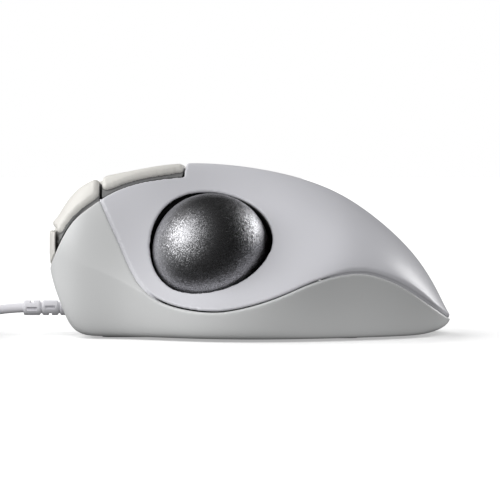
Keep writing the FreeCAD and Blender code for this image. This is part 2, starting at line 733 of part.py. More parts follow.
def make_sensor():
    node("sensor_lens", ball_cylinder("SensorLens", "lens_diameter / 2", "-chip_start", "-lens_start"))
    chip = ball_box("SensorChip", "sensor_chip_size", "sensor_chip_size", "chip_start", "sensor_start")
    node("sensor_chip", chip)
    board_end = "sensor_start + sensor_board_thickness"
    node("sensor_board", ball_box("SensorBoard", "sensor_size", "sensor_size", "sensor_start", board_end))


make_ball()
make_cup()
make_beads()
make_sensor()

# ---------------------------------------------------------------- the wheel and its carrier


def make_wheel():
    hub_radius = "(wheel_diameter / 2 - tyre_depth)"
    centre = ("wheel_x", "wheel_y", "wheel_z")
    hub = [("axle_diameter / 2", "-wheel_width / 2 - 0.6"), (3.2, "-wheel_width / 2 - 0.6"),
           (3.2, "-wheel_width / 2 + 1.4"), (7.4, "-wheel_width / 2 + 1.4"), (7.4, "-wheel_width / 2"),
           (hub_radius, "-wheel_width / 2"), (hub_radius, "wheel_width / 2"), (7.4, "wheel_width / 2"),
           (7.4, "wheel_width / 2 - 1.4"), (3.2, "wheel_width / 2 - 1.4"), (3.2, "wheel_width / 2 + 0.6"),
           ("axle_diameter / 2", "wheel_width / 2 + 0.6")]
    node("wheel_hub", revolved("WheelHub", hub, *centre, axis=ALONG_Y))
    tyre = [(hub_radius, "-wheel_width / 2"), ("wheel_diameter / 2 - 0.8", "-wheel_width / 2"),
            ("wheel_diameter / 2", "-wheel_width / 2 + 1.6"), ("wheel_diameter / 2", "wheel_width / 2 - 1.6"),
            ("wheel_diameter / 2 - 0.8", "wheel_width / 2"), (hub_radius, "wheel_width / 2")]
    node("wheel_tyre", revolved("WheelTyre", tyre, *centre, axis=ALONG_Y))
    axle = cylinder("WheelAxle", "axle_diameter / 2", 14, "wheel_x", "wheel_y - 8", "wheel_z", ALONG_Y)
    node("wheel_axle", axle)


def make_carrier():
    body = doc.addObject("PartDesign::Body", "WheelCarrier")
    bridge_bottom = f"{PLUNGER_TOP} + 0.05 - wheel_z"
    bridge_top = f"{bridge_bottom} + 2.2"
    side = outline(body, "XZ_Plane", [(-3.2, -3.4), (3.2, -4.2), (12.6, bridge_bottom), (15.6, bridge_bottom),
                                      (15.6, bridge_top), (12.9, bridge_top), (3.2, 2.1), (-3.2, 2.1)])
    plate = body.newObject("PartDesign::Pad", "CarrierPad")
    plate.Profile = side
    plate.Midplane = True
    plate.setExpression("Length", expression("carrier_width"))
    place(body, "wheel_x", "wheel_y", "wheel_z")
    gap = "carrier_inside / 2"
    well = outline(body, "XY_Plane", [(-9, f"-{gap}"), (12.6, f"-{gap}"), (12.6, gap), (-9, gap)], "Well")
    through_pocket(body, well)
    through_pocket(body, circles(body, "XZ_Plane", [(0, 0)], "axle_diameter + 2 * running", "Bore"))
    node("wheel_carrier", body)
    corner = ("wheel_x - 4.5", "wheel_y - carrier_width / 2 - 3.4", "wheel_z - 4.5")
    block = rounded_box("EncoderBody", corner,
                        (9, 3.4, 9), 1.0, ALONG_Y)
    bore = cylinder("EncoderBore", "axle_diameter / 2 + running", 20, "wheel_x", "wheel_y - 18", "wheel_z",
                    ALONG_Y)
    node("wheel_encoder", cut("WheelEncoder", block, bore))


make_wheel()
make_carrier()

# ---------------------------------------------------------------- the boards and the switches

BOARD_TOP = "board_height + board_thickness"


def make_main_board():
    body = doc.addObject("PartDesign::Body", "MainBoard")
    corners = [(-52, -18), (-34, -18), (-34, 2), (-19.5, 2), (-19.5, 26.5), (-52, 26.5)]
    shape = outline(body, "XY_Plane", corners)
    plate = body.newObject("PartDesign::Pad", "BoardPad")
    plate.Profile = shape
    plate.setExpression("Length", expression("board_thickness"))
    place(body, 0, 0, "board_height")
    through_pocket(body, circles(body, "XY_Plane", BOARD_SCREWS, "screw_diameter + 0.4", "Holes"))
    return node("main_board", body)


def micro_switch(prefix, x, y, lengths):
    """A micro switch that stands on the main board, and its plunger, which moves."""
    title = "".join(word.title() for word in prefix.split("_"))
    corner = (f"{x} - ({lengths[0]}) / 2", f"{y} - ({lengths[1]}) / 2", BOARD_TOP)
    case = rounded_box(title + "SwitchCase", corner, (*lengths, "switch_height"), 0.5)
    well_corner = (f"{x} - 1.3", f"{y} - 1.3", f"{BOARD_TOP} + switch_height - 1.5")
    well = box(title + "SwitchWell", well_corner, (2.6, 2.6, 3))
    node(f"{prefix}_switch", cut(title + "Switch", case, well))
    plunger = box(title + "Plunger", (f"{x} - 1.2", f"{y} - 1.2", f"{BOARD_TOP} + switch_height - 0.9"),
                  (2.4, 2.4, "plunger_height + 0.9"))
    node(f"{prefix}_plunger", plunger)


def make_electronics():
    along = ("switch_length", "switch_width")
    across = ("switch_width", "switch_length")
    micro_switch("left", "switch_x", "left_switch_y", along)
    micro_switch("right", "switch_x", "right_switch_y", along)
    micro_switch("wheel", "wheel_switch_x", "wheel_y", across)
    node("controller_chip", box("ControllerChip", (-33.5, 17.5, BOARD_TOP), (7, 7, 0.9)))
    node("cable_connector", box("CableConnector", (-39, "cable_y - 3", 11), (6, 6, "board_height - 11")))
    screws = []
    for i, (x, y) in enumerate(BOARD_SCREWS):
        head = cylinder(f"BoardScrewHead{i}", "screw_head / 2", 1.3, x, y, BOARD_TOP)
        shank = cylinder(f"BoardScrewShank{i}", "screw_diameter / 2", 8, x, y, f"{BOARD_TOP} - 8")
        screws.append(fuse(f"BoardScrew{i}", head, shank))
    node("board_screws", group("BoardScrews", screws))


def make_dpi_button():
    """The pointer-speed button behind the wheel, with a stem down to a tact switch on the board."""
    case = rounded_box("DpiSwitchCase", ("dpi_x - tact_size / 2", "dpi_y - tact_size / 2", BOARD_TOP),
                       ("tact_size", "tact_size", "tact_height"), 0.4)
    well = cylinder("DpiSwitchWell", 1.15, 3, "dpi_x", "dpi_y", f"{BOARD_TOP} + tact_height - 1.5")
    node("dpi_switch", cut("DpiSwitch", case, well))
    plunger_foot = f"{BOARD_TOP} + tact_height - 0.9"
    node("dpi_plunger", cylinder("DpiPlunger", 1.05, "plunger_height + 0.9", "dpi_x", "dpi_y", plunger_foot))
    stem_bottom = f"{BOARD_TOP} + tact_height + plunger_height + running - dpi_top"
    cap = "dpi_diameter / 2"
    profile = [(0, stem_bottom), (1.2, stem_bottom), (1.2, -4.4), (cap, -4.4), (cap, -0.9),
               (f"{cap} - 0.35", -0.35), (f"{cap} - 1.1", 0), (0, 0)]
    node("dpi_button", revolved("DpiButton", profile, "dpi_x", "dpi_y", "dpi_top"))


def make_rocker_parts():
    """The small board under the rocker key, its two switches, and the pin that the key turns on."""
    top = "shelf_height + shelf_thickness"
    board = box("RockerPlateBlock", ("rocker_x - 7", -16, top), (13, 8.6, 1.2))
    notches = [box(f"RockerNotch{i}", ("rocker_x - 1.7", y, "shelf_height"), (3.4, length, 5))
               for i, (y, length) in enumerate(((-20, 8.1), (-9.3, 9)))]
    node("rocker_board", cut("RockerBoard", board, *notches))
    switches = []
    for i, side in enumerate((-1, 1)):
        x = f"rocker_x + {side} * rocker_spread"
        case = box(f"RockerTactCase{i}", (f"{x} - 1.8", "rocker_switch_y - 2", f"{top} + 1.2"), (3.6, 4, 1.8))
        stem = cylinder(f"RockerTactStem{i}", 0.8, 0.5, x, "rocker_switch_y", f"{top} + 3")
        switches.append(fuse(f"RockerTact{i}", case, stem))
    node("rocker_switches", group("RockerSwitches", switches))
    pin = cylinder("RockerPin", "pin_diameter / 2", "pin_length", "rocker_x", "lug_outer", "rocker_pin_z",
                   ALONG_Y)
    node("rocker_pin", pin)


make_main_board()
make_electronics()
make_dpi_button()
make_rocker_parts()

# ---------------------------------------------------------------- fasteners and feet


def make_case_screws():
    screws = []
    for i, (x, y) in enumerate(CASE_SCREWS):
        head = cylinder(f"CaseScrewHead{i}", "screw_head / 2", 1.5, x, y, 1.1)
        shank = cylinder(f"CaseScrewShank{i}", "screw_diameter / 2", 10, x, y, 2.6)
        screws.append(fuse(f"CaseScrew{i}", head, shank))
    return node("case_screws", group("CaseScrews", screws))


def make_feet():
    pads = [foot_block(f"Foot{i}", x, y, 0) for i, (x, y) in enumerate(FEET)]
    return node("desk_pads", group("DeskPads", pads))


make_case_screws()
make_feet()

# ---------------------------------------------------------------- the cable

# Where the free cable runs: from the strain relief to the coil, and from the coil to the plug.
LEAD_ROUTE = [(-67.0, 3.0, 7.6), (-75.0, 3.1, 7.3), (-84.0, 3.3, 4.4), (-93.5, 3.2, 1.8),
              (-105.0, 3.0, 1.4)]
TAIL_ROUTE = [(-84.7, -17.3, 9.8), (-84.2, -8.0, 10.2), (-83.6, -1.0, 10.0), (-84.0, 7.0, 9.0),
              (-84.4, 14.6, 6.4), (-88.5, 21.8, 4.2), (-95.7, 25.9, 3.6), (-104.0, 26.0, 3.6)]


def cable_path(name, route):
    """Straight runs joined by tangent arcs, each as large as its two runs allow."""
    points = [V(*point) for point in route]
    edges, radii, start = [], [], points[0]
    for before, corner, after in zip(points, points[1:], points[2:]):
        back, ahead = before - corner, after - corner
        run = min(back.Length, ahead.Length)
        back.normalize()
        ahead.normalize()
        half_turn = (math.pi - back.getAngle(ahead)) / 2
        trim = 0.45 * run
        radii.append(trim / math.tan(half_turn))
        middle = back + ahead
        middle.normalize()
        inward = middle * (radii[-1] / math.cos(half_turn) - radii[-1])
        first, last = corner + back * trim, corner + ahead * trim
        edges.append(Part.LineSegment(start, first).toShape())
        edges.append(Part.Arc(first, corner + inward, last).toShape())
        start = last
    edges.append(Part.LineSegment(start, points[-1]).toShape())
    print(name, "arc radii:", " ".join(f"{radius:.1f}" for radius in radii))
    return Part.Wire(edges)


def cable_tube(name, path):
    """A round tube along a path, checked against its section times its length."""
    radius = value("cable_diameter / 2")
    start = path.Edges[0]
    first = start.FirstParameter
    ring = Part.Circle(start.valueAt(first), start.tangentAt(first), radius)
    item = doc.addObject("Part::Feature", name)
    item.Shape = path.makePipeShell([Part.Wire(ring.toShape())], True, True)
    expected = math.pi * radius**2 * path.Length
    if abs(item.Shape.Volume - expected) > 0.01 * expected:
        raise RuntimeError(f"{name}: volume {item.Shape.Volume:.1f}, expected {expected:.1f}")
    return item


def make_cable():
    centre = ("coil_x", "coil_y", 0)
    height = "cable_diameter * coil_layers"
    outside = cylinder("CoilOutside", "coil_outer + cable_diameter / 2", height, *centre)
    inside = cylinder("CoilInside", "coil_inner - cable_diameter / 2", height, *centre)
    coil = cut("CableCoil", outside, inside)
    node("cable_coil", coil)
    for label, route in (("cable_lead", LEAD_ROUTE), ("cable_tail", TAIL_ROUTE)):
        tube = cable_tube(label.title().replace("_", ""), cable_path(label, route))
        node(label, cut(tube.Name + "Trimmed", tube, coil))


def make_inner_cable():
    """The stretch inside the casing: in from the strain relief, then up into the board's connector."""
    y, z = value("cable_y"), value("cable_z")
    bend = 3.0
    start, rise = value("relief_rear"), -36.0
    corner = V(rise - bend, y, z)
    middle = V(rise - bend + bend * math.sin(math.pi / 4), y, z + bend - bend * math.cos(math.pi / 4))
    top = V(rise, y, z + bend)
    edges = [Part.LineSegment(V(start, y, z), corner), Part.Arc(corner, middle, top),
             Part.LineSegment(top, V(rise, y, 11))]
    path = Part.Wire([edge.toShape() for edge in edges])
    return node("inner_cable", cable_tube("InnerCable", path))


def make_relief():
    """The slotted sleeve that keeps the cable from bending sharply, with the collar that holds it."""
    outer, neck = "relief_diameter / 2", "relief_diameter / 2 - 0.7"
    length = "(relief_rear - relief_front)"
    steps = [(0, f"{outer} - 0.3"), (0.5, outer), (5.0, outer), (5.0, neck), (5.4, neck), (5.4, outer),
             (10.2, outer), (10.2, neck), (10.9, neck), (10.9, outer)]
    profile = [(0, 0)] + [(radius, x) for x, radius in steps]
    profile += [(outer, f"{length} - 1.5"), (3.5, f"{length} - 1.5"), (3.5, length), (0, length)]
    relief = revolved("StrainRelief", profile, "relief_front", "cable_y", "cable_z", ALONG_X)
    return node("strain_relief", relief)


def make_plug():
    """The USB-A plug: a moulded grip, the metal shell and the tongue inside it."""
    middle = "grip_height / 2"
    grip = rounded_box("PlugGripBlock", ("grip_front", "plug_y - grip_width / 2", 0),
                       ("grip_length", "grip_width", "grip_height"), 1.8, ALONG_X)
    node("plug_grip", grip)
    outside = rounded_box("PlugShellBlock", ("grip_front - plug_length", "plug_y - plug_width / 2",
                                             f"{middle} - plug_height / 2"),
                          ("plug_length", "plug_width", "plug_height"), 0.5, ALONG_X)
    inside = box("PlugShellInside", ("grip_front - plug_length", "plug_y - plug_width / 2 + plug_wall",
                                     f"{middle} - plug_height / 2 + plug_wall"),
                 ("plug_length", "plug_width - 2 * plug_wall", "plug_height - 2 * plug_wall"))
    node("plug_shell", cut("PlugShell", outside, inside))
    tongue = box("PlugTongue", ("grip_front - plug_length + 0.5", "plug_y - plug_width / 2 + plug_wall",
                                f"{middle} - plug_height / 2 + plug_wall"),
                 ("plug_length - 0.5", "plug_width - 2 * plug_wall", 1.85))
    node("plug_tongue", tongue)


make_cable()
make_inner_cable()
make_relief()
make_plug()

# ---------------------------------------------------------------- checks and files

doc.recompute()
failed = [item.Name for item in doc.Objects if {"Invalid", "Error"} & set(item.State)]
if failed:
    raise RuntimeError(f"failed: {failed}")
for item in subparts:
    if item.Shape.isNull() or not item.Shape.isValid():
        raise RuntimeError(f"{item.Label} has no valid shape")

os.makedirs("parts", exist_ok=True)
for item in subparts:
    item.Shape.exportStep(os.path.join("parts", item.Label + ".step"))
    print(f"{item.Label}: {len(item.Shape.Solids)} solids, {item.Shape.Volume:.1f} mm3")
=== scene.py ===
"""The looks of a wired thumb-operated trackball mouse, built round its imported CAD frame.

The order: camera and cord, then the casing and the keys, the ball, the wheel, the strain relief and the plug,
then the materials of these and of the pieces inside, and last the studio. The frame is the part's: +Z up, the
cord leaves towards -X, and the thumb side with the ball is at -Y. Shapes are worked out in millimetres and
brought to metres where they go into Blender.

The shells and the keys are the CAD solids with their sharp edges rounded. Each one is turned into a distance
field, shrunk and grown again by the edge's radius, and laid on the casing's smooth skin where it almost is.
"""

import math

import bmesh
import bpy
import numpy as np
import openvdb as vdb
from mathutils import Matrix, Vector


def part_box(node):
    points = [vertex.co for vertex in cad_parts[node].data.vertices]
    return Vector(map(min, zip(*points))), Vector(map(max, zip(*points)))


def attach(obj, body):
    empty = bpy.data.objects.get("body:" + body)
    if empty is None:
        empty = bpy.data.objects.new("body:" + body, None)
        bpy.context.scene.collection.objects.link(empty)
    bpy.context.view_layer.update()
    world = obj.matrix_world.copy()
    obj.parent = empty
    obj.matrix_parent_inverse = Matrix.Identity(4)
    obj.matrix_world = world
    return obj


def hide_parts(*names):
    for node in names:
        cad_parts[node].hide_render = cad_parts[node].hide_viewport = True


MM = 0.001

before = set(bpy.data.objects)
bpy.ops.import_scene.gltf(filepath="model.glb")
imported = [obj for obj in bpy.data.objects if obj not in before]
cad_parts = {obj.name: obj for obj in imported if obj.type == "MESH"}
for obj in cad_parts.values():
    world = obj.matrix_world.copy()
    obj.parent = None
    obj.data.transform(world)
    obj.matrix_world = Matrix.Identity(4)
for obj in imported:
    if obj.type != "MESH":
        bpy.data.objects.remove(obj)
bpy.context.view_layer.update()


def millimetres(*values):
    return tuple(v * MM for v in values)


def node_box(node):
    """A CAD node's lowest and highest corners, in millimetres."""
    return tuple(np.array(corner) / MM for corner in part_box(node))


# ---------------------------------------------------------------- camera

CAMERA_DISTANCE = 0.9
CAMERA_RISE = math.radians(2.0)
HALF_VIEW = 0.07375
SENSOR_WIDTH = 36.0
NEAREST, FARTHEST = 0.01, 20.0
AIM = Vector((0.0, 0.0, 0.0248))


def make_camera():
    data = bpy.data.cameras.new("camera")
    data.sensor_width = SENSOR_WIDTH
    data.lens = SENSOR_WIDTH / 2 * CAMERA_DISTANCE / HALF_VIEW
    data.clip_start, data.clip_end = NEAREST, FARTHEST
    camera = bpy.data.objects.new("camera", data)
    back = Vector((0.0, -math.cos(CAMERA_RISE), math.sin(CAMERA_RISE)))
    camera.location = AIM + back * CAMERA_DISTANCE
    camera.rotation_euler = (-back).to_track_quat("-Z", "Y").to_euler()
    bpy.context.scene.collection.objects.link(camera)
    bpy.context.scene.camera = camera


make_camera()

# ---------------------------------------------------------------- the cord

CORD_DIAMETER = 2.8
LEAD_ROUTE = [(-67.0, 3.0, 7.6), (-75.0, 3.1, 7.3), (-84.0, 3.3, 4.4), (-93.5, 3.2, 1.8)]
TAIL_ROUTE = [(-84.2, -8.0, 10.2), (-83.6, -1.0, 10.0), (-84.0, 7.0, 9.0), (-84.4, 14.6, 6.4),
              (-88.5, 21.8, 4.2), (-95.7, 25.9, 3.6), (-104.0, 26.0, 3.6)]
# The coil: its centre, its outermost turn's radius, and its turns in each of its layers.
COIL_X, COIL_Y = -105.0, -17.3
COIL_OUTER, COIL_TURNS, COIL_LAYERS = 20.3, 3, 4
STEPS_A_TURN = 18
CHANGE_SHARE = 0.25  # the share of a turn in which the cord crosses to the next one
LAST_PART_TURN = 0.75
CORD_STEPS, CORD_ROUNDNESS = 6, 5


def coil_points():
    """The coil's turns: layers wound inwards and outwards by turns, all changes of turn in one place."""
    grow = 1 / math.cos(math.pi / STEPS_A_TURN)
    last = COIL_LAYERS * COIL_TURNS + LAST_PART_TURN
    points = []
    for i in range(int(last * STEPS_A_TURN) + 1):
        turn = i / STEPS_A_TURN
        whole = min(int(turn), COIL_LAYERS * COIL_TURNS - 1)
        layer, place = divmod(whole, COIL_TURNS)
        swing = math.pi / 2 * min(1.0, (turn - whole) / CHANGE_SHARE)
        inwards = layer % 2 == 0
        step_in, step_up = 1 - math.cos(swing), math.sin(swing)
        if place == 0:
            shift = 0
            rise = layer - 1 + step_up if layer else 0
        else:
            shift = place - 1 + (step_in if inwards else math.sqrt(1 - (1 - step_up)**2))
            rise = layer
        radius = COIL_OUTER - CORD_DIAMETER * (shift if inwards else COIL_TURNS - 1 - shift)
        angle = math.pi / 2 + 2 * math.pi * turn
        points.append((COIL_X + radius * grow * math.cos(angle),
                       COIL_Y + radius * grow * math.sin(angle),
                       CORD_DIAMETER * (0.5 + rise)))
    return points


def make_cord():
    route = LEAD_ROUTE + coil_points() + TAIL_ROUTE
    curve = bpy.data.curves.new("cable", "CURVE")
    curve.dimensions = "3D"
    spline = curve.splines.new("NURBS")
    spline.points.add(len(route) - 1)
    for point, place in zip(spline.points, route):
        point.co = (*millimetres(*place), 1.0)
        point.radius = CORD_DIAMETER / 2 * MM
    spline.order_u = 3
    spline.use_endpoint_u = True
    spline.resolution_u = CORD_STEPS
    curve.bevel_depth = 1.0  # times each point's radius, because a curve's box grows by that radius
    curve.bevel_resolution = CORD_ROUNDNESS
    curve.use_fill_caps = True
    cable = bpy.data.objects.new("cable", curve)
    bpy.context.scene.collection.objects.link(cable)
    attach(cable, "casing")
    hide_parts("cable_lead", "cable_coil", "cable_tail")
    return cable


cable = make_cord()

# ---------------------------------------------------------------- the casing's smooth skin

HALF = 59.0
FLOOR = 0.8


def guide(*points):
    """A natural cubic spline through (x, value), smooth in the angle whose cosine is -x / HALF."""
    x, values = np.array(points, float).T
    angles = np.arccos(-x / HALF)
    steps = np.diff(angles)
    slopes = np.diff(values) / steps
    last = len(angles) - 1
    system, right = np.eye(last + 1), np.zeros(last + 1)
    for i in range(1, last):
        system[i, i - 1:i + 2] = steps[i - 1], 2 * (steps[i - 1] + steps[i]), steps[i]
        right[i] = 6 * (slopes[i] - slopes[i - 1])
    bend = np.linalg.solve(system, right)

    def at(x):
        angle = np.arccos(-x / HALF)
        i = np.clip(np.searchsorted(angles, angle, side="right") - 1, 0, last - 1)
        step, before, after = steps[i], angles[i + 1] - angle, angle - angles[i]
        cubic = (bend[i] * before**3 + bend[i + 1] * after**3) / (6 * step)
        first = (values[i] / step - bend[i] * step / 6) * before
        second = (values[i + 1] / step - bend[i + 1] * step / 6) * after
        return cubic + first + second

    return at


# The crest of the crown, seen from the side and from above.
RIDGE_Z = guide((-59, 25.4), (-58.7, 28.4), (-58.1, 30.8), (-56.9, 33.4), (-54.3, 38.0), (-50.15, 42.8),
                (-46.6, 45.1), (-41.3, 46.9), (-35.4, 48.1), (-26, 49.8), (-17.7, 50.45), (-8.85, 50.15),
                (2.95, 48.7), (14.75, 46.0), (26.55, 41.3), (38.35, 33.3), (44.25, 28.0), (50.15, 21.2),
                (54.5, 14.3), (57.5, 8.3), (59, 5.0))
RIDGE_Y = guide((-59, 3), (-57, -2), (-53, -8), (-43, -13), (-30, -13), (-12, -7), (6, -4), (24, -1),
                (40, 1), (52, 1), (59, 0))
# The widest line on the thumb side: the rim of the thumb rest.
LEFT_Y = guide((-59, 3), (-58.7, -7), (-58, -13.5), (-56.5, -18.5), (-54, -21.5), (-50, -24), (-44, -25.8),
               (-36, -28), (-28, -32), (-20, -36.5), (-10, -40.5), (0, -42), (10, -41.5), (20, -39.3),
               (30, -35.5), (40, -30), (48, -23.5), (54, -16), (57.5, -9), (59, 0))
LEFT_Z = guide((-59, 25.4), (-56, 24), (-50, 22), (-44, 20), (-36, 16.5), (-28, 12.5), (-20, 9.8),
               (-10.3, 9.4), (0, 10.5), (11.8, 14.4), (20, 18), (28, 20.8), (36.9, 20), (44.3, 16.9),
               (51.6, 11.8), (56, 7.6), (59, 5.0))
# The widest line on the finger side.
RIGHT_Y = guide((-59, 3), (-58.7, 13), (-58, 20.5), (-56.5, 26.5), (-54, 30.2), (-50, 33), (-44, 35.2),
                (-36, 36.8), (-24, 39.3), (-10, 41.2), (2, 42), (12, 41.5), (22, 39.3), (32, 35),
                (42, 28.5), (50, 21), (55, 14), (58, 7), (59, 0))
RIGHT_Z = guide((-59, 25.4), (-56, 23), (-50, 20), (-40, 17), (-20, 14.5), (0, 14), (20, 13.5), (40, 11),
                (52, 7.5), (59, 5.0))
BOTTOM_Z = guide((-59, 25.4), (-58.7, 21.5), (-58.1, 19.2), (-56.6, 14.5), (-54.7, 9.7), (-52.7, 5.2),
                 (-51, 2.9), (-48.5, 1.4), (-44, 0.8), (-30, 0.8), (0, 0.8), (30, 0.8), (44, 0.8),
                 (50, 1.0), (54, 1.7), (57, 2.9), (59, 5.0))
# How the thumb slope leaves its rim: its angle above the horizontal, and how far it holds that direction.
RIM_LEAN = guide((-59, 90), (-50, 88), (-40, 76), (-30, 57), (-20, 42), (-10, 37), (0, 44), (12, 62),
                 (24, 72), (36, 71), (48, 64), (59, 55))
RIM_PULL = guide((-59, 14), (-50, 12), (-40, 11), (-30, 10), (-20, 8), (-10, 8), (0, 8), (12, 8),
                 (24, 7.5), (36, 7), (48, 5), (55, 3), (59, 0.5))
# How flat the crown is on each side of its crest.
CROWN_LEFT = guide((-59, 0.5), (-55, 5), (-50, 7), (-43, 6.5), (-30, 6), (-12, 7), (6, 9), (24, 12),
                   (40, 11), (52, 7), (59, 0.3))
CROWN_RIGHT = guide((-59, 0.5), (-55, 8), (-50, 13), (-43, 15), (-30, 19), (-12, 20), (6, 22), (24, 19),
                    (40, 14), (52, 8), (59, 0.3))
# How far the wall tucks in under the thumb rest.
TUCK = guide((-59, 0), (-40, 0), (-10, 0), (6, 1.2), (16, 3.2), (28, 5), (40, 4.6), (50, 3), (56, 1.4),
             (59, 0))


STATIONS, ARC_POINTS, END_ANGLE = 320, 56, 0.015
# The corners under the walls are round in full where the wall is this high, and never quite sharp.
FULL_ROUND_HEIGHT, LEAST_ROUND = 9, 0.05
# Where the section's poles lie. The crown's and the walls' are shares of a height, the others are lengths.
CROWN_POLE, RIGHT_WALL_POLE, LEFT_WALL_POLE = 0.42, 0.75, 0.72
TUCK_SHARE, WALL_BULGE = 0.3, 0.25
LEFT_FOOT, LEFT_TOE, LEFT_HEEL = 1.2, 2.4, 0.9
RIGHT_FOOT, RIGHT_TOE, RIGHT_HEEL = 2.6, 2.0, 1.4


def bezier(poles, count):
    """Points along cubic curves, one for each station: poles are four pairs of arrays."""
    t = np.linspace(0, 1, count, endpoint=False)[None, :]
    weights = (1 - t)**3, 3 * t * (1 - t)**2, 3 * t * t * (1 - t), t**3
    return [sum(w * pole[k][:, None] for w, pole in zip(weights, poles)) for k in (0, 1)]


def skin_points():
    """The casing's cross-sections, close together along X, as (stations, points, 3) in millimetres."""
    x = -HALF * np.cos(np.linspace(END_ANGLE, math.pi - END_ANGLE, STATIONS))
    crest = (RIDGE_Y(x), RIDGE_Z(x))
    left, right = (LEFT_Y(x), LEFT_Z(x)), (RIGHT_Y(x), RIGHT_Z(x))
    bottom = np.maximum(BOTTOM_Z(x), FLOOR)
    lean, pull, tuck = np.radians(RIM_LEAN(x)), RIM_PULL(x), TUCK(x)
    left_drop, right_drop = left[1] - bottom, right[1] - bottom
    left_round = np.clip(left_drop / FULL_ROUND_HEIGHT, LEAST_ROUND, 1)
    right_round = np.clip(right_drop / FULL_ROUND_HEIGHT, LEAST_ROUND, 1)
    left_foot = left[0] + TUCK_SHARE * tuck + LEFT_FOOT * left_round
    right_foot = right[0] - RIGHT_FOOT * right_round
    slope = [left, (left[0] + pull * np.cos(lean), left[1] + pull * np.sin(lean)),
             (crest[0] - CROWN_LEFT(x), crest[1]), crest]
    crown = [crest, (crest[0] + CROWN_RIGHT(x), crest[1]),
             (right[0], right[1] + CROWN_POLE * (crest[1] - right[1])), right]
    right_wall = [right, (right[0], right[1] - RIGHT_WALL_POLE * right_drop),
                  (right_foot + RIGHT_HEEL * right_round, bottom),
                  (right_foot - RIGHT_TOE * right_round, bottom)]
    left_wall = [(left_foot + LEFT_TOE * left_round, bottom), (left_foot - LEFT_HEEL * left_round, bottom),
                 (left[0] + tuck + WALL_BULGE * left_round, left[1] - LEFT_WALL_POLE * left_drop), left]
    ends = right_wall[-1], left_wall[0]
    floor = [tuple(a + (b - a) * share for a, b in zip(*ends)) for share in (0, 1 / 3, 2 / 3, 1)]
    arcs = [bezier(poles, ARC_POINTS) for poles in (slope, crown, right_wall, floor, left_wall)]
    y, z = (np.concatenate([arc[k] for arc in arcs], axis=1) for k in (0, 1))
    return np.stack([np.broadcast_to(x[:, None], y.shape), y, z], axis=2)


def grid_triangles(rows, columns):
    """Triangles over a grid of points whose columns close on themselves, with both ends capped by fans."""
    i, j = np.meshgrid(np.arange(rows - 1), np.arange(columns), indexing="ij")
    a, b = i * columns + j, i * columns + (j + 1) % columns
    c, d = a + columns, b + columns
    around = [np.stack(corners, -1).reshape(-1, 3) for corners in ([a, b, d], [a, d, c])]
    fan = np.arange(1, columns - 1)
    first = np.stack([np.zeros_like(fan), fan + 1, fan], -1)
    last = np.stack([np.zeros_like(fan), fan, fan + 1], -1) + (rows - 1) * columns
    return np.concatenate([*around, first, last])


# ---------------------------------------------------------------- distance fields

SKIN_VOXEL, SKIN_REACH, SKIN_MARGIN = 0.5, 5.0, 3.0
# How far a grid holds distances beyond what is asked of it, in voxels.
LEAST_REACH, OPENING_REACH, BLOCK_REACH = 2.0, 2.5, 3
# Points up to the first depth are laid on the skin, and from the second on they are left where they are. Each
# has its value and what is added at the casing's two ends, from END_X on. Points further out than MOST_PROUD
# aren't touched.
LAID, LEFT_ALONE = (0.04, 0.2), (0.14, 0.3)
END_X, END_SPAN = 57.0, 1.2
MOST_PROUD = 0.5


def field_grid(points, triangles, voxel, reach):
    """The signed distance from a closed surface, in millimetres, out to reach on both sides."""
    transform = vdb.createLinearTransform(voxelSize=voxel)
    return vdb.FloatGrid.createLevelSetFromPolygons(
        np.ascontiguousarray(points, np.float32), triangles=np.ascontiguousarray(triangles, np.uint32),
        transform=transform, halfWidth=max(LEAST_REACH, reach / voxel))


def array_of(grid, start, shape):
    """A block of a grid's distances as an array."""
    values = np.empty(shape, np.float32)
    grid.copyToArray(values, ijk=tuple(int(v) for v in start))
    return values


class Field:
    """A distance field as an array on a lattice of one voxel size. Its first point is lattice point start."""

    def __init__(self, values, start, voxel):
        self.values, self.start, self.voxel = values, np.array(start), voxel

    def at(self, points):
        """The distance at points in millimetres, by trilinear interpolation."""
        place = points / self.voxel - self.start
        whole = np.clip(np.floor(place).astype(int), 0, np.array(self.values.shape) - 2)
        part = np.clip(place - whole, 0, 1)
        total = 0.0
        for step in np.ndindex(2, 2, 2):
            corner = self.values[tuple((whole + step).T)]
            share = [part[:, k] if beyond else 1 - part[:, k] for k, beyond in enumerate(step)]
            total = total + corner * share[0] * share[1] * share[2]
        return total

    def gradient(self, points):
        """The unit direction in which the distance grows."""
        steps = self.voxel * np.eye(3)
        slope = np.stack([self.at(points + step) - self.at(points - step) for step in steps], 1)
        return slope / np.maximum(np.linalg.norm(slope, axis=1, keepdims=True), 1e-9)


def lattice(low, high, voxel, margin):
    """First lattice point and shape of a block that covers a box in millimetres."""
    start = np.floor((np.array(low) - margin) / voxel).astype(int)
    end = np.ceil((np.array(high) + margin) / voxel).astype(int)
    return start, tuple(end - start + 1)


def make_skin_field():
    """The distance from the casing's smooth skin, which is negative inside it."""
    points = skin_points()
    rows, columns = points.shape[:2]
    points = points.reshape(-1, 3)
    grid = field_grid(points, grid_triangles(rows, columns), SKIN_VOXEL, SKIN_REACH)
    start, shape = lattice(points.min(0), points.max(0), SKIN_VOXEL, SKIN_MARGIN)
    return Field(array_of(grid, start, shape), start, SKIN_VOXEL)


skin_field = make_skin_field()


def node_surface(name):
    """A CAD node's points in millimetres, and its triangles."""
    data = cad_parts[name].data
    data.calc_loop_triangles()
    points = np.empty(len(data.vertices) * 3, np.float32)
    data.vertices.foreach_get("co", points)
    triangles = np.empty(len(data.loop_triangles) * 3, np.int32)
    data.loop_triangles.foreach_get("vertices", triangles)
    return points.reshape(-1, 3) / MM, triangles.reshape(-1, 3)


